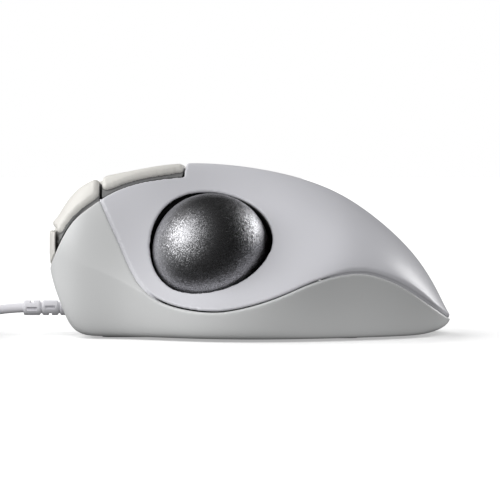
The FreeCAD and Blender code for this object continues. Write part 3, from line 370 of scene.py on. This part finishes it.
def opened(name, radius, voxel):
    """A CAD node with its outward edges rounded: shrunk by a radius, then grown by it again."""
    points, triangles = node_surface(name)
    reach = radius + OPENING_REACH * voxel
    solid = field_grid(points, triangles, voxel, reach)
    inner, extra, quads = solid.convertToPolygons(isovalue=-radius, adaptivity=0.0)
    halves = np.concatenate([extra, quads[:, [0, 1, 2]], quads[:, [0, 2, 3]]])
    return field_grid(inner, halves, voxel, reach)


def surface_of(grid, level=0.0):
    """A grid's surface at one distance, as points in millimetres and quads."""
    points, quads = grid.convertToQuads(isovalue=level)
    return points.astype(float), quads


def eased(amount, share):
    """None of an amount at a share of 0 and all of it at 1, without a kink at either end."""
    return amount * share * share * (3 - 2 * share)


def rest_on_skin(points):
    """Lays what is almost on the casing's skin exactly on it, and leaves deeper points where they are."""
    depth = -skin_field.at(points)
    ends = np.clip((np.abs(points[:, 0]) - END_X) / END_SPAN, 0, 1)
    near, far = (middle + added * ends for middle, added in (LAID, LEFT_ALONE))
    share = np.clip((depth - near) / (far - near), 0, 1)
    target = np.where(depth < far, eased(depth, share), depth)
    moved = np.where(depth > -MOST_PROUD, depth - target, 0.0)
    return points + skin_field.gradient(points) * moved[:, None]


def smoothed(points, quads, rounds=2, share=0.5):
    """Points moved towards the mean of their neighbours."""
    edges = np.concatenate([quads[:, [0, 1]], quads[:, [1, 2]], quads[:, [2, 3]], quads[:, [3, 0]]])
    edges = np.concatenate([edges, edges[:, ::-1]])
    count = np.bincount(edges[:, 0], minlength=len(points))[:, None]
    for _ in range(rounds):
        sums = [np.bincount(edges[:, 0], points[edges[:, 1], k], len(points)) for k in range(3)]
        total = np.stack(sums, 1)
        points = points + share * (total / count - points)
    return points


def outward(points, faces):
    """Faces wound so that they face out of the closed surface."""
    a, b, c = (points[faces[:, k]] for k in range(3))
    return faces if np.einsum("ij,ij->i", a, np.cross(b, c)).sum() > 0 else faces[:, ::-1]


def piece(name, points, faces, body, slot, *nodes):
    """A smooth mesh piece, from points in millimetres, that rides on a body and stands for CAD nodes."""
    data = bpy.data.meshes.new(name)
    data.from_pydata((points * MM).tolist(), [], faces.tolist())
    data.shade_smooth()
    data.update()
    item = bpy.data.objects.new(name, data)
    bpy.context.scene.collection.objects.link(item)
    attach(item, body)
    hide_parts(*nodes)
    return item


def thin_out(item, most):
    """Brings a mesh under a number of triangles by collapsing its shortest edges."""
    count = sum(len(face.vertices) - 2 for face in item.data.polygons)
    if count <= most:
        return
    modifier = item.modifiers.new("thin", "DECIMATE")
    modifier.ratio = most / count
    graph = bpy.context.evaluated_depsgraph_get()
    data = bpy.data.meshes.new_from_object(item.evaluated_get(graph), depsgraph=graph)
    item.modifiers.clear()
    old, item.data = item.data, data
    bpy.data.meshes.remove(old)
    item.data.shade_smooth()


def make_shell(name, node, body, slot, voxel, on_skin=True):
    """A CAD node with slightly rounded edges."""
    points, quads = surface_of(opened(node, EDGE_RADIUS, voxel), EDGE_RADIUS)
    points = smoothed(points, quads)
    if on_skin:
        points = rest_on_skin(points)
    return piece(name, points, outward(points, quads), body, slot, node)


def grid_of(values, start, voxel):
    """A grid from an array of distances."""
    reach = BLOCK_REACH * voxel
    grid = vdb.FloatGrid(reach)
    grid.copyFromArray(np.clip(values, -reach, reach).astype(np.float32), ijk=tuple(int(v) for v in start))
    grid.transform = vdb.createLinearTransform(voxelSize=voxel)
    return grid


def lattice_points(start, shape, voxel):
    """Every lattice point in millimetres, as (count, 3)."""
    index = np.stack(np.meshgrid(*(np.arange(n) for n in shape), indexing="ij"), -1).reshape(-1, 3)
    return (index + np.array(start)) * voxel


# ---------------------------------------------------------------- casing and keys

# Radii of edges: the seam's, the keys' visible layer's, that of their skirts, and of other mouldings.
SEAM_RADIUS, KEY_RADIUS, CRISP_RADIUS, EDGE_RADIUS = 0.35, 1.4, 0.15, 0.3
SHELL_VOXEL, KEY_VOXEL, BUTTON_VOXEL = 0.3, 0.25, 0.12
KEY_MARGIN, WALL_MARGIN = 1.0, 1.5
# Deeper than SKIRT_DEPTH a key's edges stay nearly sharp. Deeper than RECESS_DEPTH the thumb-side key and the
# rocker are painted a darker grey, as painted shade in the recess under the keys.
SKIRT_DEPTH, RECESS_DEPTH = 1.7, 1.3
MOST_TRIANGLES, SMALL_PIECE = 195000, 60000
# Where the seam is a shallow groove and not an open gap: two blocks, as lowest and highest corners.
CLOSED_SEAM = (((-45, -43, 6), (-24, -8, 47)), ((18, -43, 5), (58, 0, 25)))
# The groove's floor, its depth where it ends, the length over which it deepens, and how far the fill reaches.
GROOVE_FLOOR, GROOVE_DEEP, GROOVE_FADE, FILL_REACH = 0.3, 2.4, 6.0, 0.7
# The lip under the ball: it follows the ball at this distance, more at its ends, and ends level with the
# opening's sides.
LIP_GAP, LIP_DEPTH, OPENING_TILT = 0.45, 1.6, math.radians(37)
LIP_WIDENING, LIP_REACH, LIP_MARGIN = 1.6, 1.3, 2
# The step beside the finger-side key's visible layer is filled, from SHOULDER_FLOOR up to SHOULDER_DEPTH, as
# far as SHOULDER_REACH from the key. The fill stays clear of what is fixed, by more the further it is from
# the hinge, and it fades out towards the front.
SHOULDER_DEPTH, SHOULDER_FLOOR, SHOULDER_REACH = 0.35, 2.4, 1.9
HINGE_GAP, GAP_GROWTH, HINGE_X = 0.3, 0.024, -19.0
FADE_START, FADE_END = -28.0, -42.0


def shoulder(points, depth, own, fixed):
    """What fills the step between a key's visible layer and the casing, clear of what is fixed."""
    clear = HINGE_GAP + GAP_GROWTH * np.maximum(HINGE_X - points[:, 0], 0)
    share = np.clip((points[:, 0] - FADE_START) / (FADE_END - FADE_START), 0, 1)
    top = SHOULDER_DEPTH + eased(SHOULDER_FLOOR - SHOULDER_DEPTH, share)
    return np.maximum.reduce([top - depth, depth - SHOULDER_FLOOR, own - SHOULDER_REACH, clear - fixed])


def make_key(name, node, body, slot="keys", fixed=None):
    """A key with a soft round edge on the layer that shows, and its thin skirt and posts left nearly sharp.

    With the distance fields of what is fixed around it, the step beside its visible layer is filled as well.
    """
    start, shape = lattice(*node_box(node), KEY_VOXEL, KEY_MARGIN)
    soft, crisp = (array_of(opened(node, radius, KEY_VOXEL), start, shape) - radius
                   for radius in (KEY_RADIUS, CRISP_RADIUS))
    places = lattice_points(start, shape, KEY_VOXEL)
    depth = -skin_field.at(places).reshape(shape)
    both = np.minimum(soft, np.maximum(crisp, SKIRT_DEPTH - depth))
    if fixed:
        near = np.minimum.reduce([field.at(places) for field in fixed])
        both = np.minimum(both, shoulder(places, depth.ravel(), crisp.ravel(), near).reshape(shape))
    points, quads = surface_of(grid_of(both, start, KEY_VOXEL))
    points = rest_on_skin(smoothed(points, quads))
    return piece(name, points, outward(points, quads), body, slot, node)


def add_to(grid, start, shape, extra):
    """Adds a solid to a block of a casing's grid, from the distance to its surface on the block's lattice."""
    extra = extra.reshape(shape).astype(np.float32) + SEAM_RADIUS
    values = np.minimum(array_of(grid, start, shape), extra)
    limit = grid.background
    grid.copyFromArray(np.clip(values, -limit, limit), ijk=tuple(int(v) for v in start))


def close_seam(top, base):
    """Fills the seam's gap behind a shallow groove, which deepens towards the middle of the thumb side."""
    for low, high in CLOSED_SEAM:
        start, shape = lattice(low, high, SHELL_VOXEL, 0)
        points = lattice_points(start, shape, SHELL_VOXEL)
        depth = -skin_field.at(points)
        from_middle = points[:, 0] - low[0] if low[0] > 0 else high[0] - points[:, 0]
        fade = np.clip(from_middle / GROOVE_FADE, 0, 1)
        floor = GROOVE_DEEP + eased(GROOVE_FLOOR - GROOVE_DEEP, fade)
        further = np.maximum(array_of(top, start, shape), array_of(base, start, shape)).ravel()
        near = further - SEAM_RADIUS - FILL_REACH
        add_to(top, start, shape, np.maximum.reduce([floor - depth, depth - GROOVE_DEEP, near]))


def raise_lip(top):
    """Brings the opening's lower edge closer to the ball."""
    low, high = node_box("ball")
    centre, radius = (low + high) / 2, (high[0] - low[0]) / 2
    low, high = low - LIP_MARGIN, (high[0] + LIP_MARGIN, centre[1], centre[2])
    start, shape = lattice(low, high, SHELL_VOXEL, 0)
    points = lattice_points(start, shape, SHELL_VOXEL)
    depth = -skin_field.at(points)
    place = points - centre
    height = place[:, 2] * math.cos(OPENING_TILT) + place[:, 1] * math.sin(OPENING_TILT)
    share = np.clip(-height / radius, 0, 1)**2
    sphere = radius + LIP_GAP + LIP_WIDENING * (1 - share) - np.linalg.norm(place, axis=1)
    rim = np.hypot(place[:, 0], height) - radius - LIP_REACH
    add_to(top, start, shape, np.maximum.reduce([-depth, depth - LIP_DEPTH, sphere, rim]))


def make_casing():
    """The top case and the base shell, and the distance fields of what the finger-side key has to clear."""
    grids = [opened(name, SEAM_RADIUS, SHELL_VOXEL) for name in ("top_case", "base_shell", "centre_spine")]
    start, shape = lattice(*node_box("right_button"), SHELL_VOXEL, WALL_MARGIN)
    walls = [Field(array_of(grid, start, shape) - SEAM_RADIUS, start, SHELL_VOXEL) for grid in grids]
    top, base = grids[:2]
    close_seam(top, base)
    raise_lip(top)
    shells = []
    for name, grid in (("top_case", top), ("base_shell", base)):
        points, quads = surface_of(grid, SEAM_RADIUS)
        points = rest_on_skin(smoothed(points, quads))
        shells.append(piece(name + "_moulding", points, outward(points, quads), "casing", name, name))
        thin_out(shells[-1], MOST_TRIANGLES)
    return shells, walls


(top_shell, base_tub), walls = make_casing()
spine = make_shell("centre_spine_moulding", "centre_spine", "casing", "keys", KEY_VOXEL)
left_key = make_key("left_button_cap", "left_button", "left_button")
right_key = make_key("right_button_cap", "right_button", "right_button", fixed=walls)
rocker = make_key("rocker_key_cap", "rocker_key", "rocker", "rocker")

# ---------------------------------------------------------------- the ball

BALL_SUBDIVISIONS = 6


def make_ball():
    low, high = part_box("ball")
    mesh = bpy.data.meshes.new("ball_polished")
    form = bmesh.new()
    bmesh.ops.create_icosphere(form, subdivisions=BALL_SUBDIVISIONS, radius=(high.x - low.x) / 2)
    for face in form.faces:
        face.smooth = True
    form.to_mesh(mesh)
    form.free()
    item = bpy.data.objects.new("ball_polished", mesh)
    item.location = (low + high) / 2
    bpy.context.scene.collection.objects.link(item)
    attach(item, "ball")
    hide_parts("ball")
    return item


ball = make_ball()
cup = make_shell("ball_cup_moulding", "ball_cup", "casing", "cup", SHELL_VOXEL)
thin_out(cup, SMALL_PIECE)

# ---------------------------------------------------------------- the wheel and the pointer-speed button

# The tyre: the blocks round it, the grooves between them, its band's depth, its edge's radius, and the plain
# foot of its sides.
TYRE_BLOCKS, STEPS_A_BLOCK = 44, 12
TREAD_DEPTH, TREAD_STEEPNESS, TREAD_NARROWNESS = 0.45, 2.2, 1.0
TYRE_DEPTH = 2.4
TYRE_EDGE = 1.0
TYRE_FOOT = 0.4
EDGE_STEPS, FACE_STEPS = 6, 7
# Where the grooves start on the edge and near the sides, and the length over which they fade in.
TREAD_START, TREAD_ASIDE, TREAD_FADE = 0.2, 0.7, 0.8


def make_tyre():
    """The wheel's rubber tyre: a round-edged band cut across by grooves."""
    low, high = node_box("wheel_tyre")
    centre, outer = (low + high) / 2, (high[2] - low[2]) / 2
    half = (high[1] - low[1]) / 2
    turn = np.linspace(0, math.pi / 2, EDGE_STEPS)
    edge_y, edge_r = half - TYRE_EDGE + TYRE_EDGE * np.sin(turn), outer - TYRE_EDGE + TYRE_EDGE * np.cos(turn)
    face_y = np.linspace(-half + TYRE_EDGE, half - TYRE_EDGE, FACE_STEPS + 2)[1:-1]
    foot = [outer - TYRE_DEPTH, outer - TYRE_EDGE - TYRE_FOOT]
    across = np.concatenate([[-half, -half], -edge_y[::-1], face_y, edge_y, [half, half]])
    radius = np.concatenate([foot, edge_r[::-1], np.full(FACE_STEPS, outer), edge_r, foot[::-1]])
    angle = np.linspace(0, 2 * math.pi, TYRE_BLOCKS * STEPS_A_BLOCK, endpoint=False)
    wave = TREAD_STEEPNESS * np.cos(TYRE_BLOCKS * angle) - TREAD_NARROWNESS
    groove = TREAD_DEPTH * np.clip(wave, 0, 1)
    outside = np.clip((radius - (outer - TYRE_EDGE - TREAD_START)) / TREAD_FADE, 0, 1)
    tread = outside * np.clip((half - TREAD_ASIDE - abs(across)) / TREAD_FADE, 0, 1)
    reach = radius[None, :] - groove[:, None] * tread[None, :]
    points = np.stack([centre[0] + reach * np.cos(angle)[:, None],
                       np.broadcast_to(centre[1] + across, reach.shape),
                       centre[2] + reach * np.sin(angle)[:, None]], axis=2).reshape(-1, 3)
    rows, columns = reach.shape
    i, j = (grid.ravel() for grid in np.meshgrid(np.arange(rows), np.arange(columns), indexing="ij"))
    ahead, aside = (i + 1) % rows, (j + 1) % columns
    quads = [i * columns + j, i * columns + aside, ahead * columns + aside, ahead * columns + j]
    quads = np.stack(quads, 1)
    return piece("wheel_tyre_ribbed", points, outward(points, quads), "wheel", "tyre", "wheel_tyre")


tyre = make_tyre()
dpi_cap = make_shell("dpi_button_cap", "dpi_button", "dpi_button", "dpi_button", BUTTON_VOXEL, on_skin=False)

# ---------------------------------------------------------------- the strain relief and the plug

RELIEF_VOXEL, GRIP_VOXEL, PLUG_VOXEL = 0.12, 0.2, 0.1
CARVING_MARGIN = 4  # in voxels


def block(points, centre, half, corner):
    """The distance to a box with round edges."""
    away = np.abs(points - centre) - (np.array(half) - corner)
    outside = np.linalg.norm(np.maximum(away, 0), axis=1)
    return outside + np.minimum(away.max(axis=1), 0) - corner


def rod(points, centre, half, radius, corner):
    """The distance to a round bar along X with round edges."""
    from_axis = np.hypot(points[:, 1] - centre[1], points[:, 2] - centre[2])
    from_middle = np.abs(points[:, 0] - centre[0])
    away = np.stack([from_middle - (half - corner), from_axis - (radius - corner)], axis=1)
    return np.linalg.norm(np.maximum(away, 0), axis=1) + np.minimum(away.max(axis=1), 0) - corner


def melted(first, second, width):
    """The union of two distances with a fillet between them."""
    share = np.clip(0.5 + (second - first) / (2 * width), 0, 1)
    return second + (first - second) * share - width * share * (1 - share)


def carved(name, node, voxel, distance, body, slot):
    """A piece in place of a CAD node, from the distance to its surface."""
    start, shape = lattice(*node_box(node), voxel, CARVING_MARGIN * voxel)
    values = distance(lattice_points(start, shape, voxel)).reshape(shape)
    points, quads = surface_of(grid_of(values, start, voxel))
    return piece(name, points, outward(points, quads), body, slot, node)


# The strain relief's ribs along X, the core under them, its collar inside the base, and the cuts in each rib,
# which are given by half their lengths along the axes.
RELIEF_RIBS = ((-67.0, -62.0), (-61.5, -56.7), (-56.2, -48.2))
RIB_RADIUS, CORE_RADIUS, COLLAR_DEPTH = 2.2, 1.6, 1.5
RIB_EDGE, CORE_EDGE, CUT_EDGE = 0.5, 0.3, 0.2
NOTCH_HALF = (0.45, 1.7, 0.8)
SLOT_HALF, SLOT_SHIFT = (1.5, 0.75, 0.45), 0.2


def relief_distance(points):
    """Three ribs on a core, each with a slot in both sides and a notch in its top or bottom by turns."""
    low, high = node_box("strain_relief")
    middle, half = (low + high) / 2, (high - low) / 2
    core = rod(points, middle, half[0], CORE_RADIUS, CORE_EDGE)
    collar = (high[0] - COLLAR_DEPTH / 2, middle[1], middle[2])
    total = np.minimum(core, rod(points, collar, COLLAR_DEPTH / 2, half[1], CORE_EDGE))
    side = 1
    for front, rear in RELIEF_RIBS:
        centre = np.array([(front + rear) / 2, middle[1], middle[2]])
        rib = rod(points, centre, (rear - front) / 2, RIB_RADIUS, RIB_EDGE)
        cuts = block(points, centre + (0, 0, side * RIB_RADIUS), NOTCH_HALF, CUT_EDGE)
        for facing in (-1, 1):
            place = centre + (0, facing * RIB_RADIUS, -side * SLOT_SHIFT)
            cuts = np.minimum(cuts, block(points, place, SLOT_HALF, CUT_EDGE))
        total = np.minimum(total, np.maximum(rib, -cuts))
        side = -side
    return total


# The grip's block is shorter than the grip by twice NECK_SHOWN, and the ribbed neck fills the rest.
NECK_SHOWN, NECK_HALF, NECK_RADIUS, NECK_FILLET = 3.0, 4.0, 2.4, 0.8
GRIP_EDGE, NECK_EDGE = 1.5, 0.4
PINCH_DEPTH, PINCH_HALF = 0.35, 6.0
NECK_RIB_DEPTH, NECK_RIB_PITCH = 0.3, 1.6


def grip_distance(points):
    """A pinched block that narrows to a ribbed neck where the cable enters."""
    low, high = node_box("plug_grip")
    centre, half = (low + high) / 2, (high - low) / 2
    shorter = (NECK_SHOWN, 0, 0)
    front = centre - shorter
    body = block(points, front, half - shorter, GRIP_EDGE)
    pinch = PINCH_DEPTH * np.cos(np.clip((points[:, 0] - front[0]) / PINCH_HALF, -1, 1) * math.pi / 2)
    body = body + pinch * (np.abs(points[:, 1] - centre[1]) > np.abs(points[:, 2] - centre[2]))
    neck = rod(points, (high[0] - NECK_HALF, centre[1], centre[2]), NECK_HALF, NECK_RADIUS, NECK_EDGE)
    ribs = np.cos((high[0] - points[:, 0]) * 2 * math.pi / NECK_RIB_PITCH)
    neck = neck + NECK_RIB_DEPTH * np.clip(ribs, 0, 1)
    return melted(body, neck, NECK_FILLET)


# The plug's steel tube, and its windows: half their width, and how far they are from the middle and forward.
TUBE_WALL, TUBE_EDGE, BORE_EDGE = 0.35, 0.5, 0.2
OPEN_ENDS, THROUGH = 2.0, 1
WINDOW_HALF, WINDOW_ASIDE, WINDOW_FORWARD = 1.15, 2.7, 1.4


def shell_distance(points):
    """A steel tube of rounded rectangular section with two windows in its top and in its bottom."""
    low, high = node_box("plug_shell")
    centre, half = (low + high) / 2, (high - low) / 2
    outside = block(points, centre, half, TUBE_EDGE)
    bore = block(points, centre, half - TUBE_WALL + (OPEN_ENDS, 0, 0), BORE_EDGE)
    wall = np.maximum(outside, -bore)
    for aside in (-WINDOW_ASIDE, WINDOW_ASIDE):
        place = centre + (-WINDOW_FORWARD, aside, 0)
        window = block(points, place, (WINDOW_HALF, WINDOW_HALF, half[2] + THROUGH), BORE_EDGE)
        wall = np.maximum(wall, -window)
    return wall


relief = carved("strain_relief_slotted", "strain_relief", RELIEF_VOXEL, relief_distance, "casing", "relief")
grip = carved("plug_grip_moulding", "plug_grip", GRIP_VOXEL, grip_distance, "casing", "plug_grip")
plug_tube = carved("plug_shell_folded", "plug_shell", PLUG_VOXEL, shell_distance, "casing", "plug_shell")
thin_out(plug_tube, SMALL_PIECE)

# ---------------------------------------------------------------- materials


class Nodes:
    """Short ways to add shader nodes to one material."""

    def __init__(self, name):
        self.material = bpy.data.materials.new(name)
        self.material.use_nodes = True
        self.tree = self.material.node_tree
        self.shader = self.tree.nodes["Principled BSDF"]
        self.place = self.add("ShaderNodeTexCoord").outputs["Object"]

    def add(self, kind, inputs=None, **settings):
        node = self.tree.nodes.new(kind)
        for key, setting in settings.items():
            setattr(node, key, setting)
        for key, source in (inputs or {}).items():
            self.link(node.inputs[key], source)
        return node

    def link(self, socket, source):
        if isinstance(source, bpy.types.NodeSocket):
            self.tree.links.new(source, socket)
        else:
            socket.default_value = source

    def set(self, **inputs):
        for key, source in inputs.items():
            name = "IOR" if key == "ior" else key.replace("_", " ").title()
            self.link(self.shader.inputs[name], source)

    def noise(self, size, detail=2.0, roughness=0.5):
        """Noise between 0 and 1 whose lumps are about size millimetres."""
        inputs = {"Vector": self.place, "Scale": 1 / (size * MM), "Detail": detail, "Roughness": roughness}
        return self.add("ShaderNodeTexNoise", inputs).outputs["Fac"]

    def remap(self, value, low, high):
        inputs = {"Value": value, "To Min": low, "To Max": high}
        return self.add("ShaderNodeMapRange", inputs).outputs["Result"]

    def mix(self, share, first, second):
        node = self.add("ShaderNodeMix", data_type="RGBA")
        self.link(node.inputs["Factor"], share)
        self.link(node.inputs["A"], first)
        self.link(node.inputs["B"], second)
        return node.outputs["Result"]

    def bump(self, height, depth):
        inputs = {"Height": height, "Distance": depth * MM, "Strength": 1.0}
        return self.add("ShaderNodeBump", inputs).outputs["Normal"]


def colour(red, green, blue):
    """A linear colour from screen values between 0 and 255."""
    values = [v / 255 for v in (red, green, blue)]
    return (*[v / 12.92 if v <= 0.04045 else ((v + 0.055) / 1.055)**2.4 for v in values], 1.0)


def shade(tint, factor):
    return (*[min(1.0, v * factor) for v in tint[:3]], 1.0)


# Moulded plastic: the size of the clouds in its colour and of the patches in its gloss, and their strengths.
CLOUD_SIZE, GLOSS_SIZE = 14.0, 2.5
CLOUD_SHARE, GLOSS_SPREAD = 0.025, 0.03
FINE_DETAIL, GRAIN_ROUGHNESS = 3.0, 0.6


def moulded(name, tint, roughness, grain=0.35, grain_depth=0.004):
    """Moulded plastic: a spark-eroded grain, slightly uneven gloss, and faint clouding in its colour."""
    nodes = Nodes(name)
    cloud, patches = nodes.noise(CLOUD_SIZE, FINE_DETAIL), nodes.noise(GLOSS_SIZE, FINE_DETAIL)
    nodes.set(base_color=nodes.mix(cloud, shade(tint, 1 - CLOUD_SHARE), shade(tint, 1 + CLOUD_SHARE)),
              roughness=nodes.remap(patches, roughness - GLOSS_SPREAD, roughness + GLOSS_SPREAD),
              normal=nodes.bump(nodes.noise(grain, FINE_DETAIL, GRAIN_ROUGHNESS), grain_depth))
    return nodes.material


def dress(item, material):
    """Puts one material on a piece, or on a CAD node by name."""
    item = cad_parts[item] if isinstance(item, str) else item
    if not item.material_slots:
        item.data.materials.append(material)
    for slot in item.material_slots:
        slot.material = material
    return item


# Half metallic, because a full mirror would show only the dark room.
METAL_SHARE = 0.5
LINE_WIDTH, LINE_STRETCH = 0.12, 0.04


def metal(name, tint, roughness, brushed=0.0):
    """Plated or drawn metal, with fine lines along X, which stand out where it is brushed."""
    nodes = Nodes(name)
    mapping = {"Vector": nodes.place, "Scale": (LINE_STRETCH, 1.0, 1.0)}
    stretched = nodes.add("ShaderNodeMapping", mapping).outputs[0]
    texture = {"Vector": stretched, "Scale": 1 / (LINE_WIDTH * MM), "Detail": 2.0}
    lines = nodes.add("ShaderNodeTexNoise", texture).outputs["Fac"]
    gloss = nodes.remap(lines, roughness - 0.05, roughness + 0.08)
    nodes.set(base_color=tint, metallic=METAL_SHARE, roughness=gloss, normal=nodes.bump(lines, brushed))
    return nodes.material


def clear_plastic(name):
    """Clear acrylic with a faintly uneven polish."""
    nodes = Nodes(name)
    gloss = nodes.remap(nodes.noise(1.5), 0.02, 0.06)
    nodes.set(base_color=(0.96, 0.96, 0.98, 1.0), roughness=gloss, ior=1.49)
    nodes.shader.inputs["Transmission Weight"].default_value = 1.0
    return nodes.material


TRACK_PITCH, TRACK_WIDTH = 1.6, 0.1


def solder_mask(name):
    """Green circuit board with paler lines of copper under its lacquer."""
    nodes = Nodes(name)
    texture = {"Vector": nodes.place, "Scale": 1 / (TRACK_PITCH * MM)}
    edges = nodes.add("ShaderNodeTexVoronoi", texture, feature="DISTANCE_TO_EDGE").outputs["Distance"]
    ramp = {"Value": edges, "From Max": TRACK_WIDTH, "To Min": 1.0, "To Max": 0.0}
    tracks = nodes.add("ShaderNodeMapRange", ramp).outputs["Result"]
    nodes.set(base_color=nodes.mix(tracks, colour(18, 74, 40), colour(40, 112, 62)), roughness=0.3,
              coat_weight=0.6)
    return nodes.material


FINISHES = {
    "keys": moulded("warm_white_plastic", colour(217, 215, 210), 0.38),
    "shell": moulded("shell_white_plastic", colour(206, 207, 207), 0.42),
    "lavender": moulded("lavender_grey_plastic", colour(207, 207, 212), 0.36),
    # Painted shade: a darker grey laid on the keys' deep faces for the shadow in the recess under them.
    "skirt": moulded("recess_shade_grey", colour(128, 128, 128), 0.5),
    "black": moulded("black_plastic", colour(20, 20, 21), 0.4),
    "jacket": moulded("cable_jacket", colour(224, 223, 228), 0.5, 0.2, 0.006),
    "rubber": moulded("tyre_rubber", colour(34, 34, 36), 0.65, 0.25, 0.012),
    "hub": moulded("hub_plastic", colour(62, 62, 65), 0.4),
    "resin": moulded("chip_resin", colour(26, 26, 28), 0.55, 0.12, 0.004),
    "ivory": moulded("ivory_plastic", colour(226, 220, 200), 0.4),
    "blue": moulded("encoder_plastic", colour(52, 82, 132), 0.4),
    "white": moulded("tongue_plastic", colour(232, 232, 228), 0.42),
    "pads": moulded("pad_film", colour(150, 150, 154), 0.3, 0.5, 0.01),
    "ceramic": moulded("bead_ceramic", colour(236, 236, 232), 0.08, 0.3, 0.0005),
    "steel": metal("bright_steel", colour(200, 200, 202), 0.25),
    "nickel": metal("nickel_plate", colour(206, 204, 198), 0.35, 0.004),
    "lens": clear_plastic("lens_plastic"),
    "board": solder_mask("solder_mask"),
}
WORN_BY = {
    "keys": (left_key, right_key, rocker, spine),
    "shell": (base_tub,),
    "lavender": (top_shell, dpi_cap),
    "black": (cup, "wheel_carrier", "left_switch", "right_switch", "wheel_switch", "dpi_switch",
              "rocker_switches"),
    "jacket": (cable, relief, grip, "inner_cable"),
    "rubber": (tyre,),
    "hub": ("wheel_hub",),
    "resin": ("controller_chip", "sensor_chip"),
    "ivory": ("left_plunger", "right_plunger", "wheel_plunger", "dpi_plunger", "cable_connector"),
    "blue": ("wheel_encoder",),
    "white": ("plug_tongue",),
    "pads": ("desk_pads",),
    "ceramic": ("bearing_beads",),
    "steel": ("board_screws", "case_screws", "rocker_pin", "wheel_axle"),
    "nickel": (plug_tube,),
    "lens": ("sensor_lens",),
    "board": ("main_board", "sensor_board", "rocker_board"),
}
for finish, items in WORN_BY.items():
    for item in items:
        dress(item, FINISHES[finish])


def paint_recess_shade(item):
    """Painted shade: the layer under a key's visible one, deep in its recess, is painted a darker grey."""
    item.data.materials.append(FINISHES["skirt"])
    faces = item.data.polygons
    centres = np.empty(len(faces) * 3, np.float32)
    faces.foreach_get("center", centres)
    deep = -skin_field.at(centres.reshape(-1, 3) / MM) > RECESS_DEPTH
    faces.foreach_set("material_index", deep.astype(np.int32))


# Painted shade in the recess under the thumb-side key and the rocker.
for item in (left_key, rocker):
    paint_recess_shade(item)


FLAKE_SIZE, FLAKE_TILT = 0.16, 0.4


def graphite():
    """Metallic flakes, each leaning its own way, under a thin satin coat."""
    nodes = Nodes("graphite_flake")

    def vector(operation, inputs):
        return nodes.add("ShaderNodeVectorMath", inputs, operation=operation).outputs[0]

    texture = {"Vector": nodes.place, "Scale": 1 / (FLAKE_SIZE * MM)}
    flake = nodes.add("ShaderNodeTexVoronoi", texture).outputs["Color"]
    tone = nodes.add("ShaderNodeSeparateColor", {"Color": flake}).outputs[0]
    tilt = vector("SCALE", {0: vector("SUBTRACT", {0: flake, 1: (0.5, 0.5, 0.5)}), "Scale": FLAKE_TILT})
    normal = nodes.add("ShaderNodeNewGeometry").outputs["Normal"]
    facing = vector("NORMALIZE", {0: vector("ADD", {0: normal, 1: tilt})})
    nodes.set(base_color=nodes.mix(tone, colour(132, 132, 134), colour(232, 232, 236)), metallic=1.0,
              roughness=0.4, normal=facing, coat_weight=0.2, coat_roughness=0.3)
    return nodes.material


dress(ball, graphite())

# ---------------------------------------------------------------- studio

# Distant soft lamps: azimuth from the camera's side towards +X, elevation, strength, how wide each looks, and
# whether it shows in reflections.
LAMPS = {
    "key": (-98, 14, 1.55, 40, False),
    "sheen": (-66, 31, 1.6, 46, True),
    "left_rear": (-135, 38, 1.5, 40, False),
    "right_rear": (127, 15, 1.45, 34, True),
    "front": (10, 34, 1.65, 40, False),
}


def make_lamps():
    for name, (azimuth, elevation, strength, width, reflected) in LAMPS.items():
        around, up = math.radians(azimuth), math.radians(elevation)
        towards = Vector((math.sin(around) * math.cos(up), -math.cos(around) * math.cos(up), math.sin(up)))
        data = bpy.data.lights.new(name, "SUN")
        data.energy = strength
        data.angle = math.radians(width)
        item = bpy.data.objects.new(name, data)
        item.rotation_euler = towards.to_track_quat("Z", "Y").to_euler()
        item.visible_glossy = reflected
        bpy.context.scene.collection.objects.link(item)


FLOOR_HALF = 4.0
FLOOR_GLOW = 0.34


def make_floor():
    """A white table that glows a little, so that its shadows stay faint. The world lights from below."""
    data = bpy.data.meshes.new("floor")
    corners = [(x * FLOOR_HALF, y * FLOOR_HALF, 0) for x, y in ((-1, -1), (1, -1), (1, 1), (-1, 1))]
    data.from_pydata(corners, [], [(0, 1, 2, 3)])
    item = bpy.data.objects.new("floor", data)
    bpy.context.scene.collection.objects.link(item)
    item.visible_diffuse = item.visible_glossy = False
    nodes = Nodes("white_table")
    nodes.set(base_color=(0.8, 0.8, 0.8, 1.0), roughness=0.9, emission_color=(1.0, 1.0, 1.0, 1.0),
              emission_strength=FLOOR_GLOW)
    nodes.shader.inputs["Specular IOR Level"].default_value = 0.0
    dress(item, nodes.material)


TABLE_LIGHT, REFLECTED_LIGHT, HORIZON = 0.215, 0.015, -0.05


def make_world():
    """A white backdrop for the camera, the table's light from below, and a dark room for reflections."""
    world = bpy.data.worlds.new("studio")
    bpy.context.scene.world = world
    world.use_nodes = True
    tree = world.node_tree
    add, link = tree.nodes.new, tree.links.new
    sky = tree.nodes["Background"]
    sky.inputs["Color"].default_value = (1, 1, 1, 1)
    path = add("ShaderNodeLightPath")
    direction = add("ShaderNodeSeparateXYZ")
    link(add("ShaderNodeTexCoord").outputs["Generated"], direction.inputs[0])
    below = add("ShaderNodeMapRange")
    for name, value in (("From Min", 0.0), ("From Max", HORIZON), ("To Min", 0.0), ("To Max", TABLE_LIGHT)):
        below.inputs[name].default_value = value
    link(direction.outputs["Z"], below.inputs["Value"])
    mirrored, shown = add("ShaderNodeMix"), add("ShaderNodeMix")
    link(path.outputs["Is Glossy Ray"], mirrored.inputs["Factor"])
    link(below.outputs["Result"], mirrored.inputs["A"])
    mirrored.inputs["B"].default_value = REFLECTED_LIGHT
    link(path.outputs["Is Camera Ray"], shown.inputs["Factor"])
    link(mirrored.outputs["Result"], shown.inputs["A"])
    shown.inputs["B"].default_value = 1.0
    link(shown.outputs["Result"], sky.inputs["Strength"])


make_lamps()
make_floor()
make_world()
bpy.context.scene.view_settings.view_transform = "Standard"
